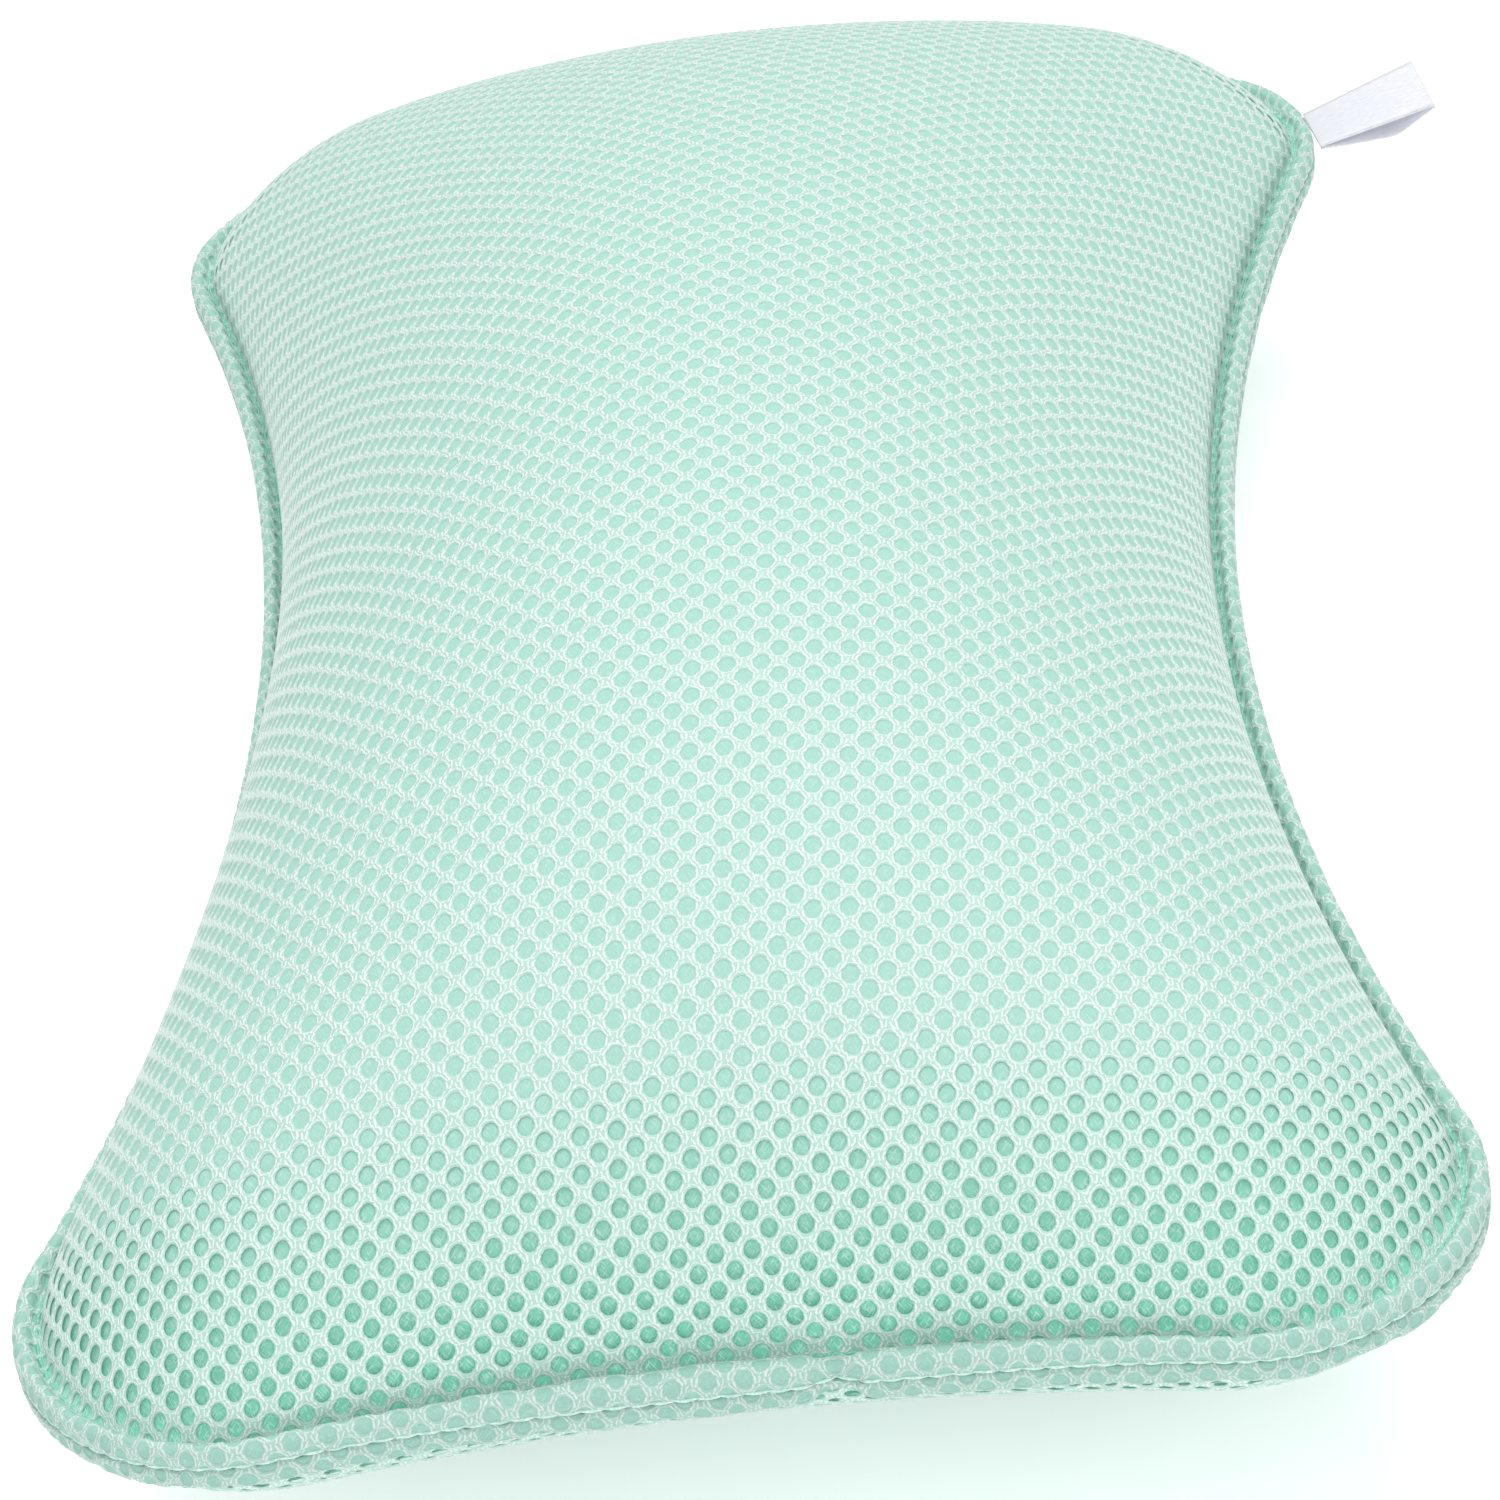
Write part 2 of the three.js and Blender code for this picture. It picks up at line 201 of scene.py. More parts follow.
def run_along(path: Array) -> Array:
    """Measures along a path.

    Args:
        path: Points in order.

    Returns:
        Distance of each point from the first one, along the path.
    """
    return np.concatenate([[0.0], np.cumsum(np.linalg.norm(np.diff(path, axis=0), axis=1))])


def resampled(path: Array, places: Array) -> Array:
    """Points of a path in the plane at given distances along it.

    Args:
        path: Points in order, as rows of two coordinates.
        places: Distances from the first point.

    Returns:
        Rows of two coordinates.
    """
    run = run_along(path)
    return np.stack([np.interp(places, run, path[:, axis]) for axis in (0, 1)], -1)


def ring_faces(rings: int, columns: int, flip: bool = False) -> Array:
    """Four-sided faces between closed rings of corners.

    Args:
        rings: Number of rings.
        columns: Corners in each ring.
        flip: Whether the faces look the other way.

    Returns:
        Corner numbers, one row for each face.
    """
    ring, column = np.meshgrid(np.arange(rings - 1), np.arange(columns), indexing="ij")
    here = ring * columns + column
    beside = ring * columns + (column + 1) % columns
    faces = np.stack([here, here + columns, beside + columns, beside], -1).reshape(-1, 4)
    return faces[:, ::-1] if flip else faces


def lathe(profile: Array, segments: int) -> tuple[Array, Array]:
    """Turns a closed or axis-to-axis profile about Z.

    Args:
        profile: Rows of radius and height, anticlockwise seen with the axis on the left.
        segments: Steps round the axis.

    Returns:
        Corners and four-sided faces.
    """
    angles = np.arange(segments) * 2 * math.pi / segments
    radius, height = profile[:, 0, None], profile[:, 1, None]
    points = np.stack([radius * np.cos(angles), radius * np.sin(angles), height + 0 * angles], -1)
    return points.reshape(-1, 3), ring_faces(len(profile), segments, flip=True)


def rounded(profile: Sequence[tuple[float, float]], radius: float, steps: int = 4) -> Array:
    """Rounds the inner corners of an open profile.

    Args:
        profile: Points in order.
        radius: Distance from a corner at which its curve starts, at most half of each side.
        steps: Points on each curve, less one.

    Returns:
        Points of the rounded profile.
    """
    points = np.asarray(profile, float)
    made = [points[0]]
    for before, corner, after in zip(points, points[1:], points[2:]):
        arms = [before - corner, after - corner]
        ends = [corner + a * min(radius / np.linalg.norm(a), 0.5) for a in arms]
        for t in np.linspace(0, 1, steps + 1):
            made.append((1 - t) ** 2 * ends[0] + 2 * t * (1 - t) * corner + t ** 2 * ends[1])
    return np.array([*made, points[-1]])


def tube(path: Array, radius: float, sides: int) -> tuple[Array, Array]:
    """Closed tube along a closed path that stays nearly level.

    Args:
        path: Points of the centre line, without the first one again at the end.
        radius: Radius of the tube.
        sides: Corners round the tube.

    Returns:
        Corners and four-sided faces.
    """
    along = unit(np.roll(path, -1, 0) - np.roll(path, 1, 0))
    across = unit(np.cross(along, (0.0, 0.0, 1.0)))
    over = np.cross(across, along)
    angles = np.arange(sides) * 2 * math.pi / sides
    reach = across[:, None] * np.cos(angles)[:, None] + over[:, None] * np.sin(angles)[:, None]
    points = path[:, None] + radius * reach
    return points.reshape(-1, 3), ring_faces(len(path) + 1, sides) % (len(path) * sides)


@dataclass(frozen=True)
class Outline:
    """Hourglass outline of the stitched groove, seen from above.

    Attributes:
        width: Across the wide ends.
        length: Along the pillow, between the corners' outermost points.
        waist: Across the middle.
        corner_radius: Of the four corners.
        end_sag: How far each end is drawn in between its corners.
        side_steps: Points on half of a side.
        corner_steps: Points on a corner.
        end_steps: Points on half of an end.
    """

    width: float = 187.5
    length: float = 333.0
    waist: float = 143.4
    corner_radius: float = 27.8
    end_sag: float = 5.5
    side_steps: int = 56
    corner_steps: int = 40
    end_steps: int = 36

    @property
    def corner(self) -> tuple[float, float]:
        """Centre of the right far corner."""
        return self.width / 2 - self.corner_radius, self.length / 2 - self.corner_radius

    def hollow(self, half_span: float, dip: float) -> tuple[float, float]:
        """Works out the hollow arc that joins two corners.

        Args:
            half_span: Half of the distance between the corners' centres.
            dip: How far the arc is drawn in from the corners' outermost points.

        Returns:
            Radius of the arc, and its centre's distance from the line between the corners' centres.
        """
        drop = self.corner_radius - dip
        radius = (drop ** 2 + half_span ** 2 - self.corner_radius ** 2) / (2 * dip)
        return radius, drop + radius

    @property
    def side_arc(self) -> tuple[float, float]:
        """Radius and centre distance of the arc that draws in a side."""
        return self.hollow(self.corner[1], (self.width - self.waist) / 2)

    @property
    def end_arc(self) -> tuple[float, float]:
        """Radius and centre distance of the arc that draws in an end."""
        return self.hollow(self.corner[0], self.end_sag)

    def points(self, offset: float | Array = 0.0) -> Array:
        """Points of the outline, anticlockwise from the middle of the right side.

        Args:
            offset: How far the outline is moved outwards, one number or one for each point.

        Returns:
            Rows of x and y. Points with one number lie on one normal.
        """
        centres, normals, radii = self._columns()
        reach = radii + offset
        return centres + normals * reach[:, None]

    def _columns(self) -> tuple[Array, Array, Array]:
        """Works out the arc that each point of the outline lies on.

        Returns:
            Arc centres, outward directions and signed radii, one row for each point.
        """
        x, y = self.corner
        side_radius, side_distance = self.side_arc
        end_radius, end_distance = self.end_arc
        side_angle = math.atan2(y, side_distance)
        end_angle = math.atan2(x, end_distance)
        arcs = [
            ((x + side_distance, 0.0), -side_radius, 0.0, -side_angle, self.side_steps),
            ((x, y), self.corner_radius, -side_angle, math.pi / 2 + end_angle, self.corner_steps),
            ((0.0, y + end_distance), -end_radius, math.pi / 2 + end_angle, math.pi / 2, self.end_steps),
        ]
        centres, angles, radii = [], [], []
        for centre, radius, start, stop, steps in arcs:
            share = np.arange(steps) / steps
            angles.append(start + (stop - start) * share)
            centres.append(np.tile(centre, (steps, 1)))
            radii.append(np.full(steps, radius))
        centre, angle, radius = np.concatenate(centres), np.concatenate(angles), np.concatenate(radii)
        middle = (np.array([[0.0, y + end_distance]]), np.array([math.pi / 2]), np.array([-end_radius]))
        left = (centre[:0:-1] * (-1, 1), math.pi - angle[:0:-1], radius[:0:-1])
        far = [np.concatenate(parts) for parts in zip((centre, angle, radius), middle, left)]
        far_end = (np.array([[-x - side_distance, 0.0]]), np.array([math.pi]), np.array([-side_radius]))
        near = (-far[0][1:], far[1][1:] + math.pi, far[2][1:])
        centre, angle, radius = (np.concatenate(parts) for parts in zip(far, far_end, near))
        return centre, np.stack([np.cos(angle), np.sin(angle)], -1), radius

    def half_width(self, y: Array) -> Array:
        """Measures from the long centre line to the outline.

        Args:
            y: Places along the pillow.

        Returns:
            Distances at these places.
        """
        return self._reach(np.abs(y), self.side_arc, self.corner[1], self.corner[0])

    def half_length(self, x: Array) -> Array:
        """Measures from the cross centre line to the outline.

        Args:
            x: Places across the pillow.

        Returns:
            Distances at these places.
        """
        return self._reach(np.abs(x), self.end_arc, self.corner[0], self.corner[1])

    def _reach(self, place: Array, arc: tuple[float, float], span: float, corner_reach: float) -> Array:
        """Measures to the hollow arc between two corners or, further out, to a corner.

        Args:
            place: Distances from the middle of the side or end.
            arc: Radius of the hollow arc, and its centre's distance from the corners' centres.
            span: Distance of a corner's centre from the middle of the side or end.
            corner_reach: Reach of a corner's centre.

        Returns:
            Reaches of the outline at these places.
        """
        radius, distance = arc
        meeting = span * radius / (radius + self.corner_radius)
        hollow = corner_reach + distance - np.sqrt(np.maximum(radius ** 2 - place ** 2, 0))
        corner = corner_reach + np.sqrt(np.maximum(self.corner_radius ** 2 - (place - span) ** 2, 0))
        return np.where(place <= meeting, hollow, corner)

    def share_out(self, x: Array, y: Array) -> Array:
        """Measures how far out places lie, along rays from the middle.

        Args:
            x: Places across the pillow.
            y: Places along it.

        Returns:
            Shares of the way from the middle to the outline.
        """
        edge = self.points()
        bearing = np.unwrap(np.arctan2(edge[:, 1], edge[:, 0]))
        turn = 2 * math.pi
        distance = np.interp(np.arctan2(y, x) % turn, bearing, np.hypot(*edge.T), period=turn)
        return np.hypot(x, y) / distance

    def run(self) -> Array:
        """Measures along the outline from its first point.

        Returns:
            Shares of the whole way round, one for each point.
        """
        edge = self.points()
        steps = np.linalg.norm(np.roll(edge, -1, 0) - edge, axis=1)
        return (np.cumsum(steps) - steps) / steps.sum()

    def trace(self, offset: float | Array, spacing: float) -> Array:
        """Evenly spaced points on the outline moved out by offset.

        Args:
            offset: Distance outwards, one number or one for each point.
            spacing: Wanted distance between points, met to the nearest whole number of steps.

        Returns:
            Rows of x and y.
        """
        edge = self.points(offset)
        closed = np.concatenate([edge, edge[:1]])
        whole = run_along(closed)[-1]
        count = round(whole / spacing)
        return resampled(closed, np.arange(count) * whole / count)


@dataclass
class Sheet:
    """Panel of cloth as rings of points from a pole to the cut edge, with its flat coordinates.

    Attributes:
        points: Rings by columns by x, y and z of the cloth's outer face.
        flat: Rings by columns by the two coordinates that the cloth has when it lies flat.
        rolled: Rings by columns, share of the roll's painted shade, from just over 0 on top of the flange's
            roll to 1 under it, and 0 elsewhere.
        side: Which way the cloth faces.
        normals: Rings by columns by the direction that the cloth faces there.
        triangles: Corner numbers of the cloth's triangles.
        tree: Search tree over the triangles of the flat cloth.
    """

    points: Array
    flat: Array
    rolled: Array
    side: Side
    normals: Array = field(init=False)
    triangles: Array = field(init=False)
    tree: BVHTree = field(init=False)

    def __post_init__(self) -> None:
        """Works out the normals and the search tree over the flat cloth."""
        rings, columns = self.points.shape[:2]
        along = np.roll(self.points, -1, 1) - np.roll(self.points, 1, 1)
        outwards = np.gradient(self.points, axis=0)
        normals = np.cross(outwards, along) * self.side.value
        normals[0] = (0, 0, self.side.value)
        self.normals = unit(normals)
        quads = ring_faces(rings, columns)
        self.triangles = np.concatenate([quads[:, [0, 1, 2]], quads[columns:, [0, 2, 3]]])
        level = np.concatenate([self.flat.reshape(-1, 2), np.zeros((rings * columns, 1))], 1)
        self.tree = BVHTree.FromPolygons(level.tolist(), self.triangles.tolist())

    def lookup(self, flat: Array, *fields: Array) -> tuple[Array, list[Array]]:
        """Reads the cloth at flat coordinates.

        Args:
            flat: Rows of flat coordinates.
            *fields: Values on the cloth's points, ring by ring, that are wanted there.

        Returns:
            Distance of each place from the cloth, which is 0 on it, and the fields at the nearest points.
        """
        hits = [self.tree.find_nearest((u, v, 0.0)) for u, v in flat.tolist()]
        nearest = np.array([hit[0][:2] for hit in hits])
        corners = self.triangles[[hit[2] for hit in hits]]
        a, b, c = (self.flat.reshape(-1, 2)[corners[:, k]] for k in range(3))
        area = np.cross(b - a, c - a)
        area = np.where(np.abs(area) < SMALLEST_AREA, SMALLEST_AREA, area)
        weights = np.stack([np.cross(b - nearest, c - nearest), np.cross(c - nearest, a - nearest)], -1)
        weights = np.clip(weights / area[:, None], 0, 1)
        weights = np.concatenate([weights, 1 - weights.sum(1, keepdims=True)], 1)
        found = []
        for values in fields:
            rows = values.reshape(-1, *values.shape[2:])[corners]
            found.append(np.einsum("nk,nk...->n...", weights, rows))
        return np.array([hit[3] for hit in hits]), found


@dataclass(frozen=True, kw_only=True)
class Finish:
    """Finish of a surface whose pattern gives it both its colour and its relief.

    Attributes:
        name: Real material, with how its surface was made.
        colours: Of the pattern's lows and of its highs.
        stops: Values of the pattern, from 0 to 1, that have these colours.
        relief: Height of the pattern.
        relief_share: How much of that height shows.
        roughness: Of the surface.
        refraction: Index of refraction.
        translucency: Share of the light that shines through.
        shading: Other inputs of the surface's shader.
    """

    name: str
    colours: tuple[str, str]
    stops: tuple[float, float] = (0.0, 1.0)
    relief: float
    relief_share: float
    roughness: float
    refraction: float = 1.54
    translucency: float = 0.0
    shading: tuple[tuple[str, float], ...] = ()

    def pattern(self, tree: NodeTree) -> NodeSocket:
        """Adds the nodes of the pattern.

        Args:
            tree: Node tree of the material.

        Returns:
            The pattern, from 0 to 1.
        """
        raise NotImplementedError

    def surface(self, tree: NodeTree, pattern: NodeSocket) -> dict[str, object]:
        """Adds the nodes that colour the surface.

        Args:
            tree: Node tree of the material.
            pattern: The pattern, from 0 to 1.

        Returns:
            Colour and roughness, by the names of the shader's inputs.
        """
        ramp = add_node(tree, "ShaderNodeValToRGB", {"Fac": pattern}, tuple(zip(self.stops, self.colours)))
        return {"Base Color": ramp.outputs["Color"], "Roughness": self.roughness}

    def material(self) -> Material:
        """Builds the node material.

        Returns:
            The material.
        """
        material, tree = new_material(self.name)
        pattern = self.pattern(tree)
        bump = add_node(tree, "ShaderNodeBump", {
            "Height": pattern, "Strength": self.relief_share, "Distance": self.relief * MM})
        inputs = self.surface(tree, pattern)
        shader = add_node(tree, "ShaderNodeBsdfPrincipled", {
            **inputs, **dict(self.shading), "IOR": self.refraction,
            "Normal": bump.outputs["Normal"]}).outputs[0]
        if self.translucency:
            through = add_node(tree, "ShaderNodeBsdfTranslucent", {"Color": inputs["Base Color"]}).outputs[0]
            shader = add_node(tree, "ShaderNodeMixShader", {
                0: self.translucency, 1: shader, 2: through}).outputs[0]
        add_node(tree, "ShaderNodeOutputMaterial", {"Surface": shader})
        return material


@dataclass(frozen=True, kw_only=True)
class KnittedFace(Finish):
    """Face of a spacer mesh, warp-knitted from bright polyester filament on a net of oval holes.

    Strands of chain stitch run along the cloth and swing from side to side, so that they part round each
    hole and meet again above and below it. The two legs of every loop are silky and almost white; the
    furrows between them are painted grey-green as shade, which makes the net sparkle over the green of the
    holes.

    Attributes:
        row_pitch: Between neighbouring holes of one row.
        column_pitch: Between neighbouring holes of one column.
        hole_width: Across a hole.
        hole_length: Along a hole.
        edging: Place of the filaments that edge a hole, as a share of the way from its middle to its edge.
        edging_width: Half their width, as such a share.
        edging_heights: Least and greatest height of these filaments, which vary along the edge.
        edging_noise: Values of the stray noise that have these heights.
        rolled: Painted shade, a grey tint multiplied into the cloth in the roll, most under it.
        swing: How far a strand swings to each side.
        leg_place: From a strand's middle to the middle of a leg.
        leg_spread: How much further out a leg lies at the loop's head than at its foot.
        leg_width: Of a leg.
        loops: Loops of a strand between neighbouring holes of one column.
        loop_body: Half the share of a loop that has its full height.
        loop_meeting: Height of the legs where one loop meets the next.
        loop_shift: Share of a loop that each strand lies further along than its neighbour.
        wobble: How far the legs stray.
        stray: From one stray place to the next.
    """

    name: str = "warp_knitted_polyester_filament"
    # The first colour, in the furrows between the legs, is painted shade; the second is the legs' own
    # near-white.
    colours: tuple[str, str] = ("#b6dacf", "#eefaf6")
    stops: tuple[float, float] = (0.05, 0.5)
    relief: float = 0.15
    relief_share: float = 0.6
    roughness: float = 0.45
    translucency: float = 0.12
    shading: tuple[tuple[str, float], ...] = (("Sheen Weight", 0.2), ("Sheen Roughness", 0.4))
    row_pitch: float
    column_pitch: float
    hole_width: float
    hole_length: float
    edging: float = 1.19
    edging_width: float = 0.13
    edging_heights: tuple[float, float] = (0.1, 0.6)
    edging_noise: tuple[float, float] = (0.35, 0.65)
    # Painted shade: grey tint multiplied in where the cloth is rolled, most under the roll.
    rolled: str = "#dde7e3"
    swing: float = 0.58
    leg_place: float = 0.29
    leg_spread: float = 0.28
    leg_width: float = 0.44
    loops: int = 4
    loop_body: float = 0.28
    loop_meeting: float = 0.15
    loop_shift: float = 0.37
    wobble: float = 0.36
    stray: float = 0.65

    def pattern(self, tree: NodeTree) -> NodeSocket:
        """Adds the nodes that work out the height of the loops' legs from the flat coordinates.

        Args:
            tree: Node tree of the material.

        Returns:
            Height from 0 in the furrows to 1 on the legs.
        """
        flat = add_node(tree, "ShaderNodeAttribute", attribute_name="flat_place").outputs["Vector"]
        noise = add_node(tree, "ShaderNodeTexNoise", {
            "Vector": flat, "Scale": 1 / self.stray, "Detail": 2.0}).outputs
        stray = add_node(tree, "ShaderNodeVectorMath", {0: noise["Color"], 1: (0.5, 0.5, 0.5)},
                         operation="SUBTRACT").outputs[0]
        place = add_node(tree, "ShaderNodeVectorMath", {
            0: stray, 1: (self.wobble, 2 * self.wobble, 0), 2: flat}, operation="MULTIPLY_ADD").outputs[0]
        axes = add_node(tree, "ShaderNodeSeparateXYZ", {0: place}).outputs
        sockets = {"x": axes[0], "y": axes[1]}
        for name, operation, operands in [*self.leg_steps(), *self.edging_steps()]:
            inputs = {number: sockets.get(value, value) for number, value in enumerate(operands)}
            sockets[name] = add_node(tree, "ShaderNodeMath", inputs, operation=operation).outputs[0]
        swell = add_node(tree, "ShaderNodeMapRange", {
            "Value": sockets["from_leg"], "From Max": self.leg_width / 2, "To Min": 1.0, "To Max": 0.0},
            interpolation_type="SMOOTHSTEP").outputs["Result"]
        loop = add_node(tree, "ShaderNodeMapRange", {
            "Value": sockets["from_middle"], "From Min": self.loop_body, "From Max": 0.5,
            "To Min": 1.0, "To Max": self.loop_meeting}, interpolation_type="SMOOTHSTEP").outputs["Result"]
        legs = add_node(tree, "ShaderNodeMath", {0: swell, 1: loop}, operation="MULTIPLY").outputs[0]
        strength = add_node(tree, "ShaderNodeMapRange", {
            "Value": noise["Fac"], "From Min": self.edging_noise[0], "From Max": self.edging_noise[1],
            "To Min": self.edging_heights[0], "To Max": self.edging_heights[1]}).outputs[0]
        edging = add_node(tree, "ShaderNodeMapRange", {
            "Value": sockets["from_edging"], "From Max": self.edging_width,
            "To Min": strength, "To Max": 0.0}, interpolation_type="SMOOTHSTEP").outputs["Result"]
        return add_node(tree, "ShaderNodeMath", {0: legs, 1: edging}, operation="MAXIMUM").outputs[0]

    def leg_steps(self) -> list[tuple[str, str, tuple]]:
        """Lists the sums that find how far a place lies from a leg and from the middle of its loop.

        Returns:
            Name, operation and operands of each sum. An operand is a number or an earlier sum's name.
        """
        return [
            ("band", "MULTIPLY", ("x", 2 / self.row_pitch)),
            ("number", "FLOOR", ("band",)),
            ("oddness", "FLOORED_MODULO", ("number", 2.0)),
            ("turn", "MULTIPLY", ("oddness", math.pi)),
            ("angle", "MULTIPLY_ADD", ("y", 2 * math.pi / self.column_pitch, "turn")),
            ("sway", "COSINE", ("angle",)),
            ("part", "FRACT", ("band",)),
            ("across", "MULTIPLY_ADD", ("part", self.row_pitch / 2, -self.row_pitch / 4)),
            ("beside", "MULTIPLY_ADD", ("sway", -self.swing, "across")),
            ("out", "ABSOLUTE", ("beside",)),
            ("shift", "MULTIPLY", ("number", self.loop_shift)),
            ("along", "MULTIPLY_ADD", ("y", self.loops / self.column_pitch, "shift")),
            ("share", "FRACT", ("along",)),
            ("foot", "ADD", ("out", self.leg_spread / 2 - self.leg_place)),
            ("lean", "MULTIPLY_ADD", ("share", -self.leg_spread, "foot")),
            ("from_leg", "ABSOLUTE", ("lean",)),
            ("from_half", "SUBTRACT", ("share", 0.5)),
            ("from_middle", "ABSOLUTE", ("from_half",)),
        ]

    def edging_steps(self) -> list[tuple[str, str, tuple]]:
        """Lists the sums that find how far a place lies from the edging of the nearest hole.

        Returns:
            Name, operation and operands of each sum. An operand is a number or an earlier sum's name.
        """
        steps = []
        sizes = {"x": (self.row_pitch, self.hole_width), "y": (self.column_pitch, self.hole_length)}
        for lattice, share in (("even", 0.0), ("odd", 0.5)):
            for axis, (pitch, hole) in sizes.items():
                steps += [
                    (f"{lattice}_{axis}", "ADD", (axis, share * pitch)),
                    (f"{lattice}_off_{axis}", "WRAP", (f"{lattice}_{axis}", pitch / 2, -pitch / 2)),
                    (f"{lattice}_out_{axis}", "MULTIPLY", (f"{lattice}_off_{axis}", 2 / hole)),
                    (f"{lattice}_square_{axis}", "POWER", (f"{lattice}_out_{axis}", 2.0)),
                ]
            steps.append((f"{lattice}_reach", "ADD", (f"{lattice}_square_x", f"{lattice}_square_y")))
        return [
            *steps,
            ("least", "MINIMUM", ("even_reach", "odd_reach")),
            ("reach", "SQRT", ("least",)),
            ("past_edge", "SUBTRACT", ("reach", self.edging)),
            ("from_edging", "ABSOLUTE", ("past_edge",)),
        ]

    def surface(self, tree: NodeTree, pattern: NodeSocket) -> dict[str, object]:
        """Adds the nodes that colour the surface, with the painted shade of the roll.

        Args:
            tree: Node tree of the material.
            pattern: Height of the legs, from 0 to 1.

        Returns:
            Colour and roughness, by the names of the shader's inputs.
        """
        inputs = super().surface(tree, pattern)
        # Painted shade of the roll, multiplied into the colour by the rolled share.
        roll = add_node(tree, "ShaderNodeAttribute", attribute_name="rolled").outputs["Fac"]
        roll_shaded = add_node(tree, "ShaderNodeMix", {
            0: roll, 6: inputs["Base Color"], 7: linear_colour(self.rolled)},
            data_type="RGBA", blend_type="MULTIPLY").outputs[2]
        return {**inputs, "Base Color": roll_shaded}


@dataclass(frozen=True, kw_only=True)
class KnittedGround(Finish):
    """Ground of a spacer mesh, knitted close, with the ends of the pile filaments standing on it.

    It gives the clear mint of the holes, crossed by fine paler pile filaments that lean both ways.
    Where the cloth is drawn tight over the filling the holes are pale, where it is slack, near the
    groove, the eye sees down into deep green pile, and in the roll it is painted darker and greyer as shade.

    Attributes:
        slack: Colours of the ground and of the pile where the cloth is slack.
        rolled: The same in the flange, darker and greyer as painted shade of the roll.
        filament: Width of a pile filament, drawn coarser than the real 0.1 mm so that it shows.
        slimness: Width of a filament as a share of its length.
        lean: Angle of the filaments to each side, in degrees.
        curl: How much they bend.
    """

    name: str = "knitted_polyester_ground_with_pile"
    colours: tuple[str, str] = ("#9fcdbf", "#abd5c9")
    stops: tuple[float, float] = (0.54, 0.66)
    relief: float = 0.3
    relief_share: float = 0.6
    roughness: float = 0.7
    slack: tuple[str, str] = ("#7cd8bd", "#c8f3e6")
    # Painted shade: darker ground and pile in the roll, most under it.
    rolled: tuple[str, str] = ("#88b7aa", "#9cc3b8")
    filament: float = 0.22
    slimness: float = 0.14
    lean: float = 35.0
    curl: float = 0.3

    def pattern(self, tree: NodeTree) -> NodeSocket:
        """Adds the nodes of the pile, as two layers of filaments that lean both ways.

        Args:
            tree: Node tree of the material.

        Returns:
            Height of the pile, from 0 to 1.
        """
        flat = add_node(tree, "ShaderNodeAttribute", attribute_name="flat_place").outputs["Vector"]
        scale = (1 / self.filament, self.slimness / self.filament, 1.0)
        layers = {}
        for number, lean in enumerate((self.lean, -self.lean)):
            turned = add_node(tree, "ShaderNodeVectorRotate", {"Vector": flat, "Angle": math.radians(lean)},
                              rotation_type="Z_AXIS").outputs[0]
            drawn = add_node(tree, "ShaderNodeVectorMath", {0: turned, 1: scale},
                             operation="MULTIPLY").outputs[0]
            layers[number] = add_node(tree, "ShaderNodeTexNoise", {
                "Vector": drawn, "Scale": 1.0, "Detail": 2.0, "Distortion": self.curl}).outputs["Fac"]
        return add_node(tree, "ShaderNodeMath", layers, operation="MAXIMUM").outputs[0]

    def surface(self, tree: NodeTree, pattern: NodeSocket) -> dict[str, object]:
        """Adds the nodes that colour the ground by how the cloth lies, with the painted shade of the roll.

        Args:
            tree: Node tree of the material.
            pattern: Height of the pile, from 0 to 1.

        Returns:
            Colour and roughness, by the names of the shader's inputs.
        """
        inputs = super().surface(tree, pattern)
        # Slack mixes in the slack cloth's own colours; rolled mixes in the painted shade of the roll.
        for state, colours in (("slack", self.slack), ("rolled", self.rolled)):
            ramp = add_node(tree, "ShaderNodeValToRGB", {"Fac": pattern}, tuple(zip(self.stops, colours)))
            share = add_node(tree, "ShaderNodeAttribute", attribute_name=state).outputs["Fac"]
            inputs["Base Color"] = add_node(tree, "ShaderNodeMix", {
                0: share, 6: inputs["Base Color"], 7: ramp.outputs["Color"]}, data_type="RGBA").outputs[2]
        return inputs


@dataclass(frozen=True, kw_only=True)
class WovenSatin(Finish):
    """White polyester ribbon in satin weave, whose long floats give a soft gloss along its length.

    Attributes:
        float_length: Of a float.
        thread: Width of a thread.
    """

    name: str = "satin_woven_polyester_ribbon"
    colours: tuple[str, str] = ("#e6e6ee", "#f3f3f8")
    stops: tuple[float, float] = (0.3, 0.6)
    relief: float = 0.06
    relief_share: float = 0.25
    roughness: float = 0.38
    translucency: float = 0.25
    shading: tuple[tuple[str, float], ...] = (("Anisotropic", 0.5), ("Sheen Weight", 0.2))
    float_length: float = 1.6
    thread: float = 0.16

    def pattern(self, tree: NodeTree) -> NodeSocket:
        """Adds the nodes of the floats.

        Args:
            tree: Node tree of the material.

        Returns:
            Height of the floats, from 0 to 1.
        """
        flat = add_node(tree, "ShaderNodeAttribute", attribute_name="flat_place").outputs["Vector"]
        scale = (1 / self.thread, 1 / self.float_length, 1.0)
        drawn = add_node(tree, "ShaderNodeVectorMath", {0: flat, 1: scale}, operation="MULTIPLY").outputs[0]
        return add_node(tree, "ShaderNodeTexNoise", {
            "Vector": drawn, "Scale": 1.0, "Detail": 1.0}).outputs["Fac"]


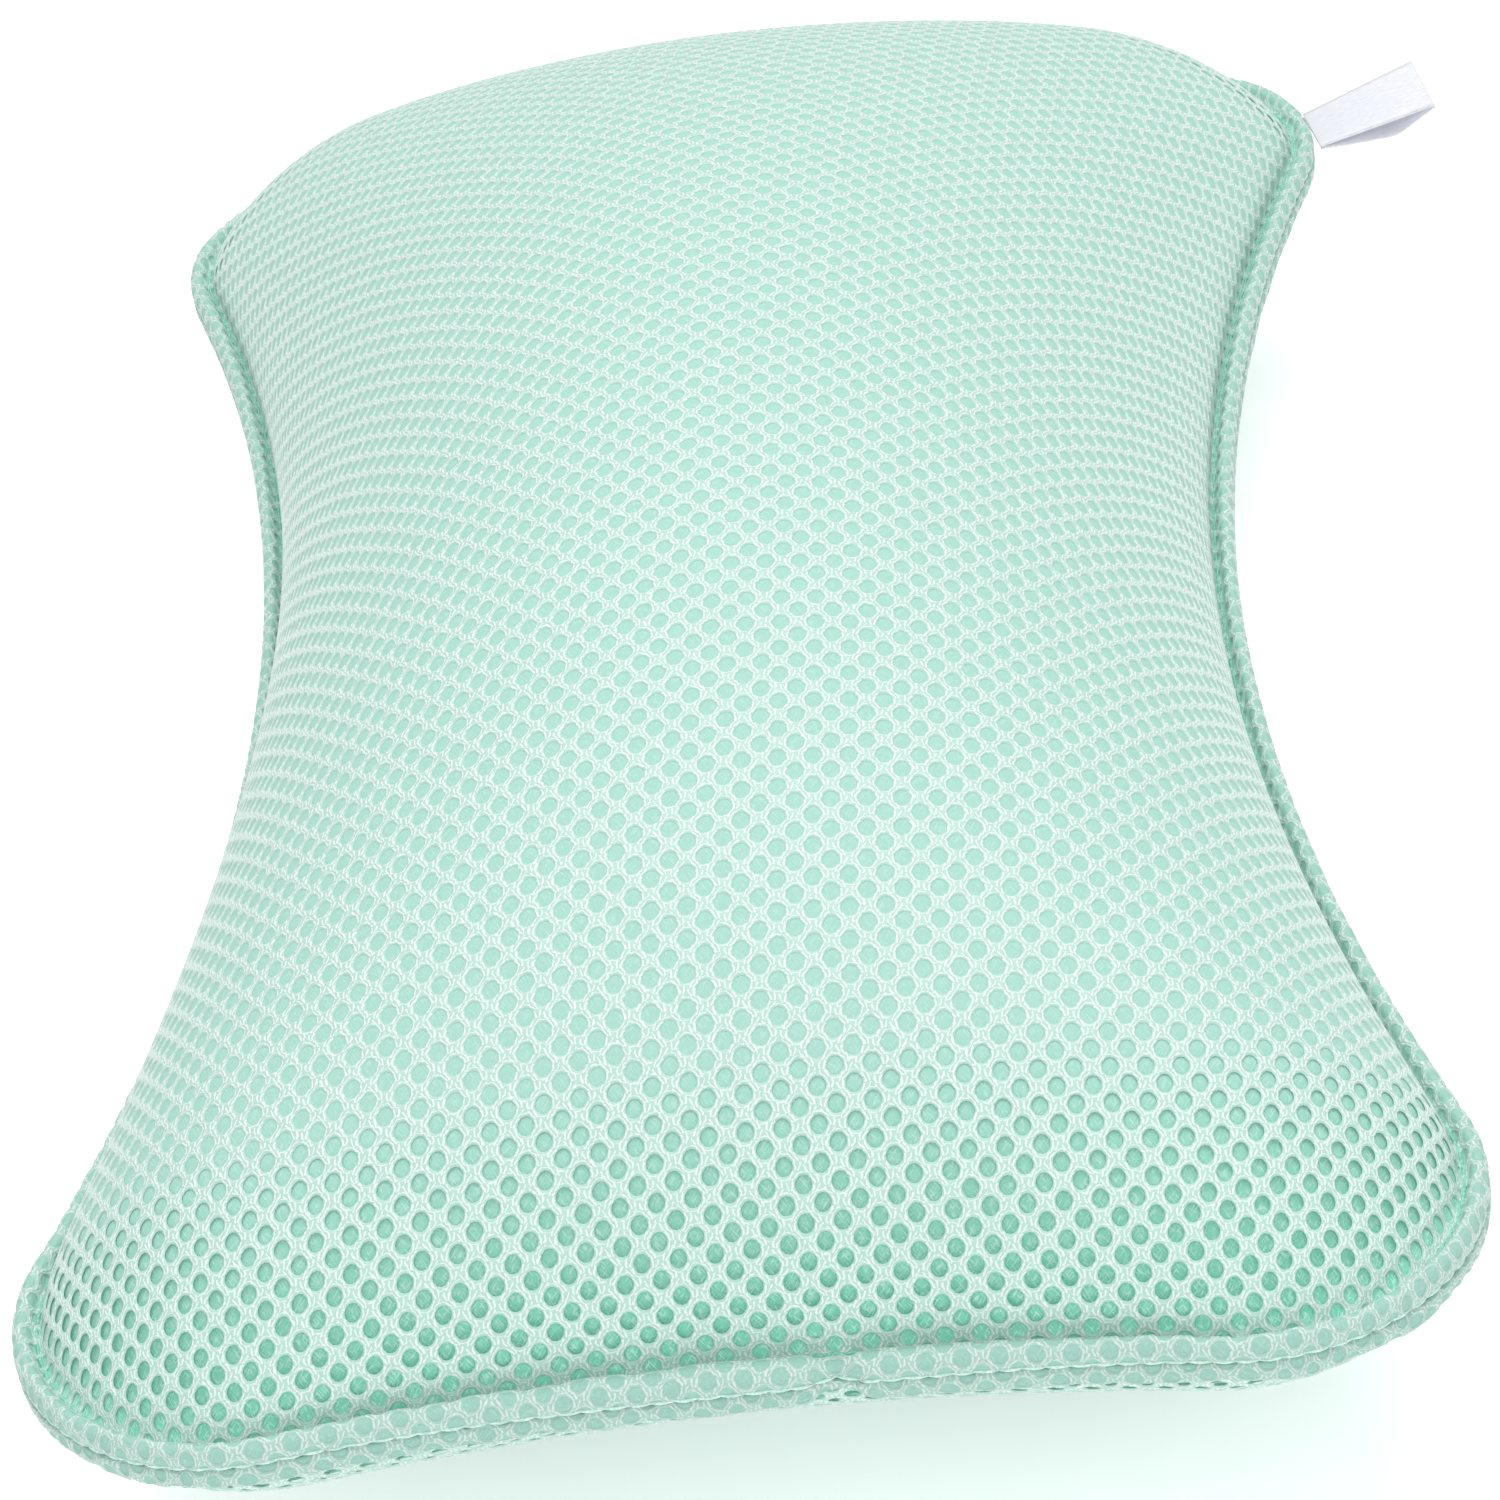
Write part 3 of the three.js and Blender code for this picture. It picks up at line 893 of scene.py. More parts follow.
@dataclass(frozen=True, kw_only=True)
class Grained(Finish):
    """Finish with an even grain in all directions.

    Attributes:
        grain: Size of the grain.
        detail: Steps of finer grain in it.
        curl: How much the grain is bent.
    """

    grain: float
    detail: float = 2.0
    curl: float = 0.0

    def pattern(self, tree: NodeTree) -> NodeSocket:
        """Adds the nodes of the grain.

        Args:
            tree: Node tree of the material.

        Returns:
            The grain, from 0 to 1.
        """
        place = add_node(tree, "ShaderNodeTexCoord").outputs["Object"]
        return add_node(tree, "ShaderNodeTexNoise", {
            "Vector": place, "Scale": 1 / (self.grain * MM), "Detail": self.detail,
            "Distortion": self.curl}).outputs["Fac"]


@dataclass(frozen=True, kw_only=True)
class SpunThread(Grained):
    """Spun polyester sewing thread, twisted from short fibres, which gives a matt, slightly hairy line."""

    name: str = "spun_polyester_thread"
    # This darker teal is partly the thread's own colour and partly painted shade of the groove that it lies
    # in.
    colours: tuple[str, str] = ("#6dbfa8", "#9ad8c6")
    stops: tuple[float, float] = (0.35, 0.65)
    relief: float = 0.1
    relief_share: float = 0.5
    roughness: float = 0.65
    grain: float = 0.5


@dataclass(frozen=True, kw_only=True)
class ClearVinyl(Grained):
    """Moulded clear soft PVC, faintly blue, with a polished mould's gloss.

    Attributes:
        cloudiness: Added to the roughness where the flow left the plastic cloudiest.
    """

    name: str = "moulded_clear_soft_pvc"
    colours: tuple[str, str] = ("#dcecef", "#dcecef")
    relief: float = 0.3
    relief_share: float = 0.15
    roughness: float = 0.06
    refraction: float = 1.53
    shading: tuple[tuple[str, float], ...] = (("Transmission Weight", 0.85),)
    grain: float = 6.0
    cloudiness: float = 0.16

    def surface(self, tree: NodeTree, pattern: NodeSocket) -> dict[str, object]:
        """Adds the nodes that make the surface a little cloudy.

        Args:
            tree: Node tree of the material.
            pattern: The grain, from 0 to 1.

        Returns:
            Colour and roughness, by the names of the shader's inputs.
        """
        cloud = add_node(tree, "ShaderNodeMapRange", {
            "Value": pattern, "To Min": self.roughness, "To Max": self.roughness + self.cloudiness})
        return {"Base Color": linear_colour(self.colours[0]), "Roughness": cloud.outputs["Result"]}


@dataclass(frozen=True, kw_only=True)
class WhitePolypropylene(Grained):
    """Moulded white polypropylene with the fine grain of a spark-eroded mould, which softens its gloss."""

    name: str = "moulded_white_polypropylene"
    colours: tuple[str, str] = ("#e3e8e5", "#f1f4f2")
    relief: float = 0.05
    relief_share: float = 0.2
    roughness: float = 0.38
    refraction: float = 1.49
    grain: float = 0.4


@dataclass(frozen=True, kw_only=True)
class CardedFibre(Grained):
    """Carded hollow polyester fibre, a matt white wad with soft tufts."""

    name: str = "carded_polyester_fibre"
    colours: tuple[str, str] = ("#dfe5e2", "#f7f9f8")
    relief: float = 1.5
    relief_share: float = 0.8
    roughness: float = 0.9
    refraction: float = 1.5
    grain: float = 5.0
    detail: float = 6.0
    curl: float = 1.5


@dataclass(frozen=True)
class SpacerMesh:
    """Structure of the spacer mesh: a net of oval holes over a close ground.

    Attributes:
        row_pitch: Between neighbouring holes of one row, across the pillow.
        column_pitch: Between neighbouring holes of one column, along the pillow.
        hole_width: Across a hole.
        hole_length: Along a hole.
        chain_width: From a hole's edge to the top of the chain of loops round it.
        chain_rise: From a hole's edge up to the chain's top.
        furrow_drop: From the chain's top down to the furrow between two chains.
        wall_depth: From a hole's edge down to the face's underside.
        wall_draw: How far a hole narrows on the way down.
        trim: Faces that lie further off the cloth than this are cut away.
        chain_limit: Most of the way from a hole's edge to the cell's edge that the chain's top may lie out.
        edge_steps: Points on one side of a cell.
        decimals: Corners that agree to so many decimals of a millimetre are one.
    """

    row_pitch: float = 4.71
    column_pitch: float = 4.93
    hole_width: float = 2.4
    hole_length: float = 2.8
    chain_width: float = 0.3
    chain_rise: float = 0.12
    furrow_drop: float = 0.06
    wall_depth: float = 0.1
    wall_draw: float = 0.08
    trim: float = 0.01
    chain_limit: float = 0.55
    edge_steps: int = 3
    decimals: int = 3

    def cell(self) -> tuple[Array, Array]:
        """Draws one lozenge-shaped cell and the hole in it, with points on shared rays.

        Returns:
            Outline of the cell and outline of the hole.
        """
        half_row, half_column = self.row_pitch / 2, self.column_pitch / 2
        tips = np.array([[half_row, 0], [0, half_column], [-half_row, 0], [0, -half_column]])
        shares = np.arange(self.edge_steps)[:, None] / self.edge_steps
        edge = np.concatenate([a + (b - a) * shares for a, b in zip(tips, np.roll(tips, -1, 0))])
        bearing = np.arctan2(edge[:, 1] / self.hole_length, edge[:, 0] / self.hole_width)
        hole = np.stack([self.hole_width / 2 * np.cos(bearing), self.hole_length / 2 * np.sin(bearing)], -1)
        return edge, hole

    def centres(self, low: Array, high: Array) -> Array:
        """Lists the centres of the holes that may lie in a box of flat coordinates.

        Args:
            low: Lower corner of the box.
            high: Upper corner of the box.

        Returns:
            Rows of flat coordinates.
        """
        step = np.array([self.row_pitch, self.column_pitch]) / 2
        first, last = np.floor(low / step).astype(int), np.ceil(high / step).astype(int)
        i, j = np.meshgrid(np.arange(first[0], last[0] + 1), np.arange(first[1], last[1] + 1), indexing="ij")
        chosen = (i + j) % 2 == 0
        return np.stack([i[chosen], j[chosen]], -1) * step

    def face(self, name: str, sheet: Sheet, centres: Array, material: Material) -> Object:
        """Builds the net over the cells with the given centres.

        Args:
            name: Name of the piece.
            sheet: Cloth that the net lies on.
            centres: Flat coordinates of the holes' centres.
            material: Finish of the net.

        Returns:
            The net, with its flat coordinates stored on it.
        """
        edge, hole = self.cell()
        gap = np.linalg.norm(edge - hole, axis=1)
        chain = hole + (edge - hole) * np.minimum(self.chain_width / gap, self.chain_limit)[:, None]
        under = hole * (1 - self.wall_draw)
        rings = [
            (edge, self.chain_rise - self.furrow_drop),
            (chain, self.chain_rise),
            (hole, 0.0),
            (under, -self.wall_depth),
        ]
        count, sides = len(centres), len(edge)
        flat = np.stack([centres[:, None] + ring for ring, _ in rings], 1).reshape(-1, 2)
        lift = np.tile(np.concatenate([np.full(sides, up) for _, up in rings]), count)
        keys = np.round(np.column_stack([flat, lift]), self.decimals)
        _, first, number = np.unique(keys, axis=0, return_index=True, return_inverse=True)
        flat, lift = flat[first], lift[first]
        outside, (points, normals, rolled) = sheet.lookup(flat, sheet.points, sheet.normals, sheet.rolled)
        points = points + normals * lift[:, None]
        base = np.arange(count)[:, None, None] * sides * len(rings)
        faces = (base + ring_faces(len(rings), sides)[None]).reshape(-1, 4)
        faces = number.ravel()[faces][:, ::-1 if sheet.side is Side.BACK else 1]
        faces = faces[(outside[faces] < self.trim).any(1)]
        used, faces = np.unique(faces, return_inverse=True)
        piece = make_piece(name, points[used], [faces.reshape(-1, 4)], material)
        point_values(piece, "flat_place", np.column_stack([flat[used], 0 * lift[used]]))
        # The rolled share carries the roll's painted shade to the net's finish.
        point_values(piece, "rolled", rolled[used])
        return piece


def line_lengths(height: HeightField, x: Array, y: Array) -> Array:
    """Measures lines that lie on a crown.

    Args:
        height: Height of the crown at a place.
        x: Places of each line's points across the pillow, along the last axis.
        y: Their places along the pillow.

    Returns:
        Length of each line.
    """
    points = np.stack([x, y, height(x, y)], -1)
    return np.linalg.norm(np.diff(points, axis=-2), axis=-1).sum(-1)


@dataclass(frozen=True)
class Lay:
    """How the cloth lies over a crown.

    Rows of holes bow as the ends do, columns draw in at the waist as the sides do, and every line from the
    middle to an end crosses the same count of rows. The cloth was cut a little off the straight.

    Attributes:
        outline: Outline of the crown.
        row_skew: How far a row runs along the pillow for each millimetre across it.
        column_skew: How far a column runs across the pillow for each millimetre along it.
        samples: Points on a measured line.
    """

    outline: Outline
    row_skew: float = 0.02
    column_skew: float = 0.05
    samples: int = 48

    def end(self, place: Array) -> Array:
        """Measures to an end, as if it had no rounded corners.

        Args:
            place: Places across the pillow.

        Returns:
            Reaches of the end at these places.
        """
        return self.outline.half_length(np.minimum(np.abs(place), self.outline.corner[0]))

    def side(self, place: Array) -> Array:
        """Measures to a side, as if it had no rounded corners.

        Args:
            place: Places along the pillow.

        Returns:
            Reaches of the side at these places.
        """
        return self.outline.half_width(np.minimum(np.abs(place), self.outline.corner[1]))

    def flat(self, points: Array, height: HeightField) -> Array:
        """Lays the cloth flat, by lengths measured along it.

        Args:
            points: Places on the crown, seen from above.
            height: Height of the crown at a place.

        Returns:
            Places on the flat cloth, across the rows' ends and along the columns.
        """
        steps = np.sin(np.linspace(0, math.pi / 2, self.samples))
        x, y = points[..., 0, None], points[..., 1, None]
        across = line_lengths(height, x * steps, y * self.end(x * steps) / self.end(x))
        along = line_lengths(height, x * self.side(y * steps) / self.side(y), y * steps)
        share = np.minimum(np.abs(x) / self.side(y), 1)
        line = self.end(share * self.side(np.array(self.outline.corner[1]))) * steps
        whole = line_lengths(height, share * self.side(line), line)
        middle = line_lengths(height, 0 * steps, self.end(0 * steps) * steps)
        along = along * middle / whole
        flat = np.stack([np.sign(points[..., 0]) * across, np.sign(points[..., 1]) * along], -1)
        skew = np.array([[1, self.column_skew], [self.row_skew, 1]])
        return flat @ np.linalg.inv(skew).T


@dataclass(frozen=True)
class Flange:
    """Plump edge outside the stitched groove, rolled from the borders of both panels.

    Attributes:
        outline: Outline of the stitched groove.
        level_place: Place along the pillow that keeps its level, above the cups.
        groove: Width of the open groove.
        stitched: Thickness of a panel under the stitches.
        groove_rounding: How far the cloth stands above the groove's floor at its edge and dips in its middle.
        end_width: Width of the roll in the middle of an end.
        corner_width: Width of the roll at a corner.
        waist_width: Width of the roll at the waist.
        least_width: Share of its width that the roll would keep with no height.
        rise: From the seam up to the top of the roll.
        drop: From the seam down to the underside of the roll.
        roll_angles: Where the roll's section starts and stops, in degrees from its outermost point.
        roll_rows: Rows of points on the roll.
        turned_height: Of the part that turns in to the seam, in thicknesses of a stitched panel.
        tucks: From the roll's outermost point in to each row of the edge turned in at the seam.
        tuck_gap: From the seam to these rows.
        end_droop: How far the ends hang below the middle.
        pucker: Share of its height that the roll loses where the stitches draw it in most.
        puckers: Number of puckers round the pillow.
        stray: How far the puckers stray from even places, in radians of their wave.
        strays: How often they do so round the pillow.
        change: Share of their depth that changes along the roll.
        changes: How often it does so round the pillow.
        change_start: Where these changes start, in radians of their wave.
        pinch_place: Of the deep pinch where the seam was closed, right of the near end's middle.
        pinch_length: Of that pinch.
        pinch: Share of its height that the roll loses there.
    """

    outline: Outline
    level_place: float
    groove: float = 0.9
    stitched: float = 1.2
    groove_rounding: float = 0.2
    end_width: float = 4.7
    corner_width: float = 2.9
    waist_width: float = 2.6
    least_width: float = 0.5
    rise: float = 3.5
    drop: float = 4.4
    roll_angles: tuple[float, float] = (165.0, -25.0)
    roll_rows: int = 14
    turned_height: float = 2.0
    tucks: tuple[float, ...] = (0.6, 1.2, 1.8)
    tuck_gap: float = 0.1
    end_droop: float = 1.6
    pucker: float = 0.22
    puckers: int = 61
    stray: float = 1.7
    strays: int = 7
    change: float = 0.4
    changes: int = 11
    change_start: float = 1.0
    pinch_place: float = 12.0
    pinch_length: float = 3.2
    pinch: float = 0.7

    def fullness(self) -> Array:
        """Works out how much of the roll's height the puckers and the pinch leave.

        Returns:
            Share of the height at each point of the outline.
        """
        turn = 2 * math.pi * self.outline.run()
        change = 1 - self.change + self.change * np.sin(self.changes * turn + self.change_start)
        wave = np.sin(self.puckers * turn + self.stray * np.sin(self.strays * turn)) * change
        x, y = self.outline.points().T
        pinch = np.where(y < 0, np.exp(-((x - self.pinch_place) / self.pinch_length) ** 2), 0.0)
        return (1 - self.pucker * (0.5 + 0.5 * wave)) * (1 - self.pinch * pinch)

    def widths(self) -> Array:
        """Works out the width of the roll.

        Returns:
            Width at each point of the outline.
        """
        waist, end = (np.cos(math.pi / 2 * np.minimum(np.abs(place) / corner, 1)) ** 2
                      for place, corner in zip(self.outline.points().T[::-1], self.outline.corner[::-1]))
        full = np.minimum(self.fullness() / (1 - self.pucker), 1)
        drawn_in = self.least_width + (1 - self.least_width) * full
        return drawn_in * (self.corner_width + (self.waist_width - self.corner_width) * waist
                           + (self.end_width - self.corner_width) * end)

    def drooped(self, points: Array) -> Array:
        """Lets points of the soft body down towards the pillow's ends.

        Args:
            points: Points along the last axis.

        Returns:
            The points in their drooped places.
        """
        shares = (points[..., 1] ** 2 - self.level_place ** 2) / (self.outline.length / 2) ** 2
        return points - self.end_droop * shares[..., None] * (0, 0, 1)

    def section(self, side: Side) -> list[tuple[Array, Array]]:
        """Rows of points over the groove and the roll of one panel, to its edge turned in at the seam.

        Args:
            side: Which panel.

        Returns:
            For each row, offsets from the groove's inner edge and distances from the seam, point by point.
        """
        widths, fullness = self.widths(), self.fullness()
        level = np.ones_like(widths)
        reach = (self.rise if side is Side.FRONT else self.drop) - self.stitched
        lip = self.groove_rounding
        rows = [(lip * level, (self.stitched + lip) * level),
                (self.groove / 2 * level, (self.stitched - lip) * level)]
        for angle in np.radians(np.linspace(*self.roll_angles, self.roll_rows)):
            height = reach * fullness if angle > 0 else self.turned_height * self.stitched * level
            offset = self.groove + widths / 2 * (1 + math.cos(angle))
            rows.append((offset, self.stitched + height * math.sin(angle)))
        return [*rows, *((self.groove + widths - tuck, self.tuck_gap * level) for tuck in self.tucks)]


@dataclass
class Panel:
    """One panel of the pillow: its swell, the stitched groove and its part of the rolled flange.

    Attributes:
        side: Which way the panel faces.
        flange: Rolled edge of both panels.
        seam: Height of the seam between the two panels.
        swell: Height of the crown or depth of the back, from the groove's floor.
        eyelets: Places of the holes for the eyelets.
        eyelet_hole: Radius of such a hole.
        deck_share: Share of the way out to the outline that the back's flat deck reaches.
        side_roundness: How full the crown is towards its sides.
        end_roundness: How full the crown is towards its ends.
        swell_rings: Rings of points on the swell.
        mesh: Structure of the cloth.
        face_inset: From the solid's outer face down to the holes' edges.
        ground_depth: From the holes' edges down to the ground where the cloth is drawn tight.
        slack_depth: Added to it where the cloth is slack.
        slack_reach: How far the slack cloth reaches in from the ends.
        stitched_depth: From the holes' edges down to the ground at the stitches and in the roll.
        stitched_reach: How far in from the groove the stitches still hold the ground up.
        ground_thickness: Of the ground.
        rolled_thickness: Share of it that is left in the roll.
        roll_shade_shares: How much of the roll's painted shade each panel has at the groove and at the seam.
    """

    side: Side
    flange: Flange
    seam: float
    swell: float
    eyelets: Array
    eyelet_hole: float = 6.4
    deck_share: float = 0.68
    side_roundness: float = 1.8
    end_roundness: float = 2.26
    swell_rings: int = 40
    mesh: SpacerMesh = field(default_factory=SpacerMesh)
    face_inset: float = 0.12
    ground_depth: float = 0.12
    slack_depth: float = 1.2
    slack_reach: float = 42.0
    stitched_depth: float = 0.12
    stitched_reach: float = 7.0
    ground_thickness: float = 0.7
    rolled_thickness: float = 0.5
    roll_shade_shares: ClassVar[dict[Side, tuple[float, float]]] = {Side.FRONT: (0.1, 0.8), Side.BACK: (1.0, 0.8)}

    @property
    def outline(self) -> Outline:
        """Outline of the stitched groove."""
        return self.flange.outline

    @property
    def floor(self) -> float:
        """Height of the groove's floor."""
        return self.seam + self.side.value * self.flange.stitched

    def share(self, x: Array, y: Array) -> Array:
        """Works out the share of the swell at places inside the outline.

        Args:
            x: Places across the pillow.
            y: Places along it.

        Returns:
            Shares, from 0 at the outline to 1 in the middle.
        """
        if self.side is Side.FRONT:
            cross = np.maximum(1 - (x / self.outline.half_width(y)) ** 2, 0) ** (1 / self.side_roundness)
            end = np.maximum(1 - (y / self.outline.half_length(x)) ** 2, 0) ** (1 / self.end_roundness)
            return cross * end
        flank = np.maximum(self.outline.share_out(x, y) - self.deck_share, 0) / (1 - self.deck_share)
        return np.sqrt(np.maximum(1 - flank ** 2, 0))

    def height(self, x: Array, y: Array) -> Array:
        """Works out the height of the panel's outer face at places inside the outline.

        Args:
            x: Places across the pillow.
            y: Places along it.

        Returns:
            Heights at these places, before the droop.
        """
        return self.floor + self.side.value * self.swell * self.share(x, y)

    def sheet(self) -> Sheet:
        """Lays out the panel's cloth, from the middle of the swell to the edge turned in at the seam.

        Returns:
            The cloth, on the solid's outer face.
        """
        reaches = np.sin(np.linspace(0, math.pi / 2, self.swell_rings))
        edge = self.outline.points()
        plan = edge[None] * reaches[:, None, None]
        swell = np.concatenate([plan, self.height(plan[..., 0], plan[..., 1])[..., None]], -1)
        flat = Lay(self.outline).flat(plan, self.height)
        rim = np.stack([np.column_stack([self.outline.points(offset), self.seam + self.side.value * lift])
                        for offset, lift in self.flange.section(self.side)])
        border = flat[-1]
        heading = np.roll(border, -2, 0) - np.roll(border, 2, 0)
        outwards = unit(np.stack([heading[:, 1], -heading[:, 0]], -1))
        run = np.cumsum(np.linalg.norm(np.diff(np.concatenate([swell[-1:], rim]), axis=0), axis=-1), axis=0)
        flat_rim = border[None] + outwards[None] * run[..., None]
        points = self.flange.drooped(np.concatenate([swell, rim]))
        # Share of the roll's painted shade, row by row from the groove to the seam.
        shares = np.linspace(*self.roll_shade_shares[self.side], len(rim))
        rolled = np.concatenate([np.zeros(len(swell)), shares])[:, None] * np.ones(len(edge))
        return Sheet(points, np.concatenate([flat, flat_rim]), rolled, self.side)

    def inset(self, sheet: Sheet) -> Sheet:
        """Moves a sheet in, so that the chains' tops lie on the solid's outer face.

        Args:
            sheet: Cloth on the solid's outer face.

        Returns:
            The cloth at the holes' edges.
        """
        return Sheet(sheet.points - sheet.normals * self.face_inset, sheet.flat, sheet.rolled, sheet.side)

    def ground(self, name: str, sheet: Sheet, material: Material) -> Object:
        """Builds the ground under the net as a closed shell.

        Args:
            name: Name of the piece.
            sheet: Cloth that the net lies on.
            material: Finish of the ground.

        Returns:
            The ground.
        """
        rings, columns = sheet.points.shape[:2]
        rim = sheet.rolled > 0
        groove = sheet.flat[self.swell_rings - 1]
        inwards = np.where(rim, 0.0, np.linalg.norm(sheet.flat - groove, axis=-1))
        from_end = np.abs(groove[:, 1]).max() - np.abs(sheet.flat[..., 1])
        slack = np.where(rim, 0.0, np.clip(1 - from_end / self.slack_reach, 0, 1))
        free = np.clip(inwards / self.stitched_reach, 0, 1)[..., None]
        loose = self.ground_depth + self.slack_depth * slack[..., None]
        depth = self.stitched_depth * (1 - free) + loose * free
        outer = sheet.points - sheet.normals * depth
        shares = np.where(rim, self.rolled_thickness, 1.0)[..., None]
        inner = outer - sheet.normals * self.ground_thickness * shares
        points = np.concatenate([outer, inner[::-1]]).reshape(-1, 3)
        faces = ring_faces(2 * rings, columns, flip=self.side is Side.BACK)
        faces = faces[self.clear_of_eyelets(points[faces].mean(1))]
        piece = make_piece(name, points, [faces], material)
        flat = np.concatenate([sheet.flat, sheet.flat[::-1]]).reshape(-1, 2)
        point_values(piece, "flat_place", np.column_stack([flat, np.zeros(len(flat))]))
        # The rolled share carries the roll's painted shade to the ground's finish.
        for state, values in (("slack", slack), ("rolled", sheet.rolled)):
            point_values(piece, state, np.concatenate([values, values[::-1]]).ravel())
        return piece

    def clear_of_eyelets(self, places: Array) -> Array:
        """Tells which places lie outside the holes for the eyelets.

        Args:
            places: Points, one row each.

        Returns:
            True for each place outside the holes.
        """
        if not len(self.eyelets):
            return np.full(len(places), True)
        away = np.linalg.norm(places[:, None, :2] - self.eyelets[None], axis=-1)
        return away.min(1) > self.eyelet_hole

    def build(self, face: Material, ground: Material) -> list[Object]:
        """Builds the panel's ground and its net, and sets them in the frame.

        Args:
            face: Finish of the net.
            ground: Finish of the ground.

        Returns:
            The pieces.
        """
        label = self.side.name.lower()
        sheet = self.inset(self.sheet())
        pieces = [self.ground(f"{label}_ground", sheet, ground)]
        margin = np.array([self.mesh.row_pitch, self.mesh.column_pitch])
        places = sheet.flat.reshape(-1, 2)
        low, high = places.min(0) - margin, places.max(0) + margin
        centres = self.mesh.centres(low, high)
        away, (places,) = sheet.lookup(centres, sheet.points)
        centres = centres[(away < margin.max() / 2) & self.clear_of_eyelets(places)]
        along, third = centres[:, 1], high[1] / 3
        parts = {"near": along < -third, "waist": np.abs(along) <= third, "far": along > third}
        for part, chosen in parts.items():
            pieces.append(self.mesh.face(f"{label}_knit_{part}", sheet, centres[chosen], face))
        for piece in pieces:
            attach(piece, "pillow")
            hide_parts(f"{label}_panel")
        return pieces


@dataclass
class Stitching:
    """Rows of lockstitch: two in the groove, above and below, and one in the flange's seam.

    Attributes:
        flange: Rolled edge that the rows run along.
        stitch: Length of a stitch.
        arch: How far a stitch stands up between two needle holes.
        groove_radius: Of the threads in the groove.
        joining_radius: Of the thread in the seam.
        joining_inset: From the roll's outermost point in to the seam's thread.
        sink: How far the threads in the groove are drawn into the cloth.
        steps: Points on a stitch.
        sides: Corners round the thread.
    """

    flange: Flange
    stitch: float = 3.0
    arch: float = 0.3
    groove_radius: float = 0.25
    joining_radius: float = 0.3
    joining_inset: float = 0.5
    sink: float = 0.3
    steps: int = 6
    sides: int = 6

    def row(self, node: str, offset: float | Array, height: float, radius: float, lean: float,
            material: Material) -> Object:
        """Builds one row of stitches in the place of a thread of the frame.

        Args:
            node: Thread that the row replaces.
            offset: Of the row, out from the groove's inner edge.
            height: Of the thread's centre line at the needle holes.
            radius: Of the thread.
            lean: 1 where the stitches arch up, -1 where they arch down, 0 where they arch outwards.
            material: Finish of the thread.

        Returns:
            The row of stitches.
        """
        plan = self.flange.outline.trace(offset, self.stitch / self.steps)
        plan = plan[:len(plan) // self.steps * self.steps]
        arch = self.arch * np.abs(np.sin(np.arange(len(plan)) * math.pi / self.steps))
        path = np.column_stack([plan, height + lean * arch])
        if lean == 0:
            ahead = np.roll(plan, -1, 0) - np.roll(plan, 1, 0)
            out = unit(np.stack([ahead[:, 1], -ahead[:, 0]], -1))
            path[:, :2] += out * (arch - self.arch)[:, None]
        points, faces = tube(self.flange.drooped(path), radius, self.sides)
        piece = make_piece(f"{node}_stitches", points, [faces], material)
        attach(piece, "pillow")
        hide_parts(node)
        return piece

    def build(self, panels: dict[Side, Panel], lockstitch: Material,
              joining: Material) -> list[Object]:
        """Builds the three rows.

        Args:
            panels: The two panels.
            lockstitch: Finish of the threads in the groove, whose darker teal is partly painted shade of the
                groove.
            joining: Finish of the thread in the seam.

        Returns:
            The rows.
        """
        front, back = panels[Side.FRONT], panels[Side.BACK]
        middle = self.flange.groove / 2
        edge = self.flange.groove + self.flange.widths() - self.joining_inset
        return [
            self.row("needle_thread", middle, front.floor - self.sink, self.groove_radius, 1, lockstitch),
            self.row("bobbin_thread", middle, back.floor + self.sink, self.groove_radius, -1, lockstitch),
            self.row("joining_thread", edge, front.seam, self.joining_radius, 0, joining),
        ]


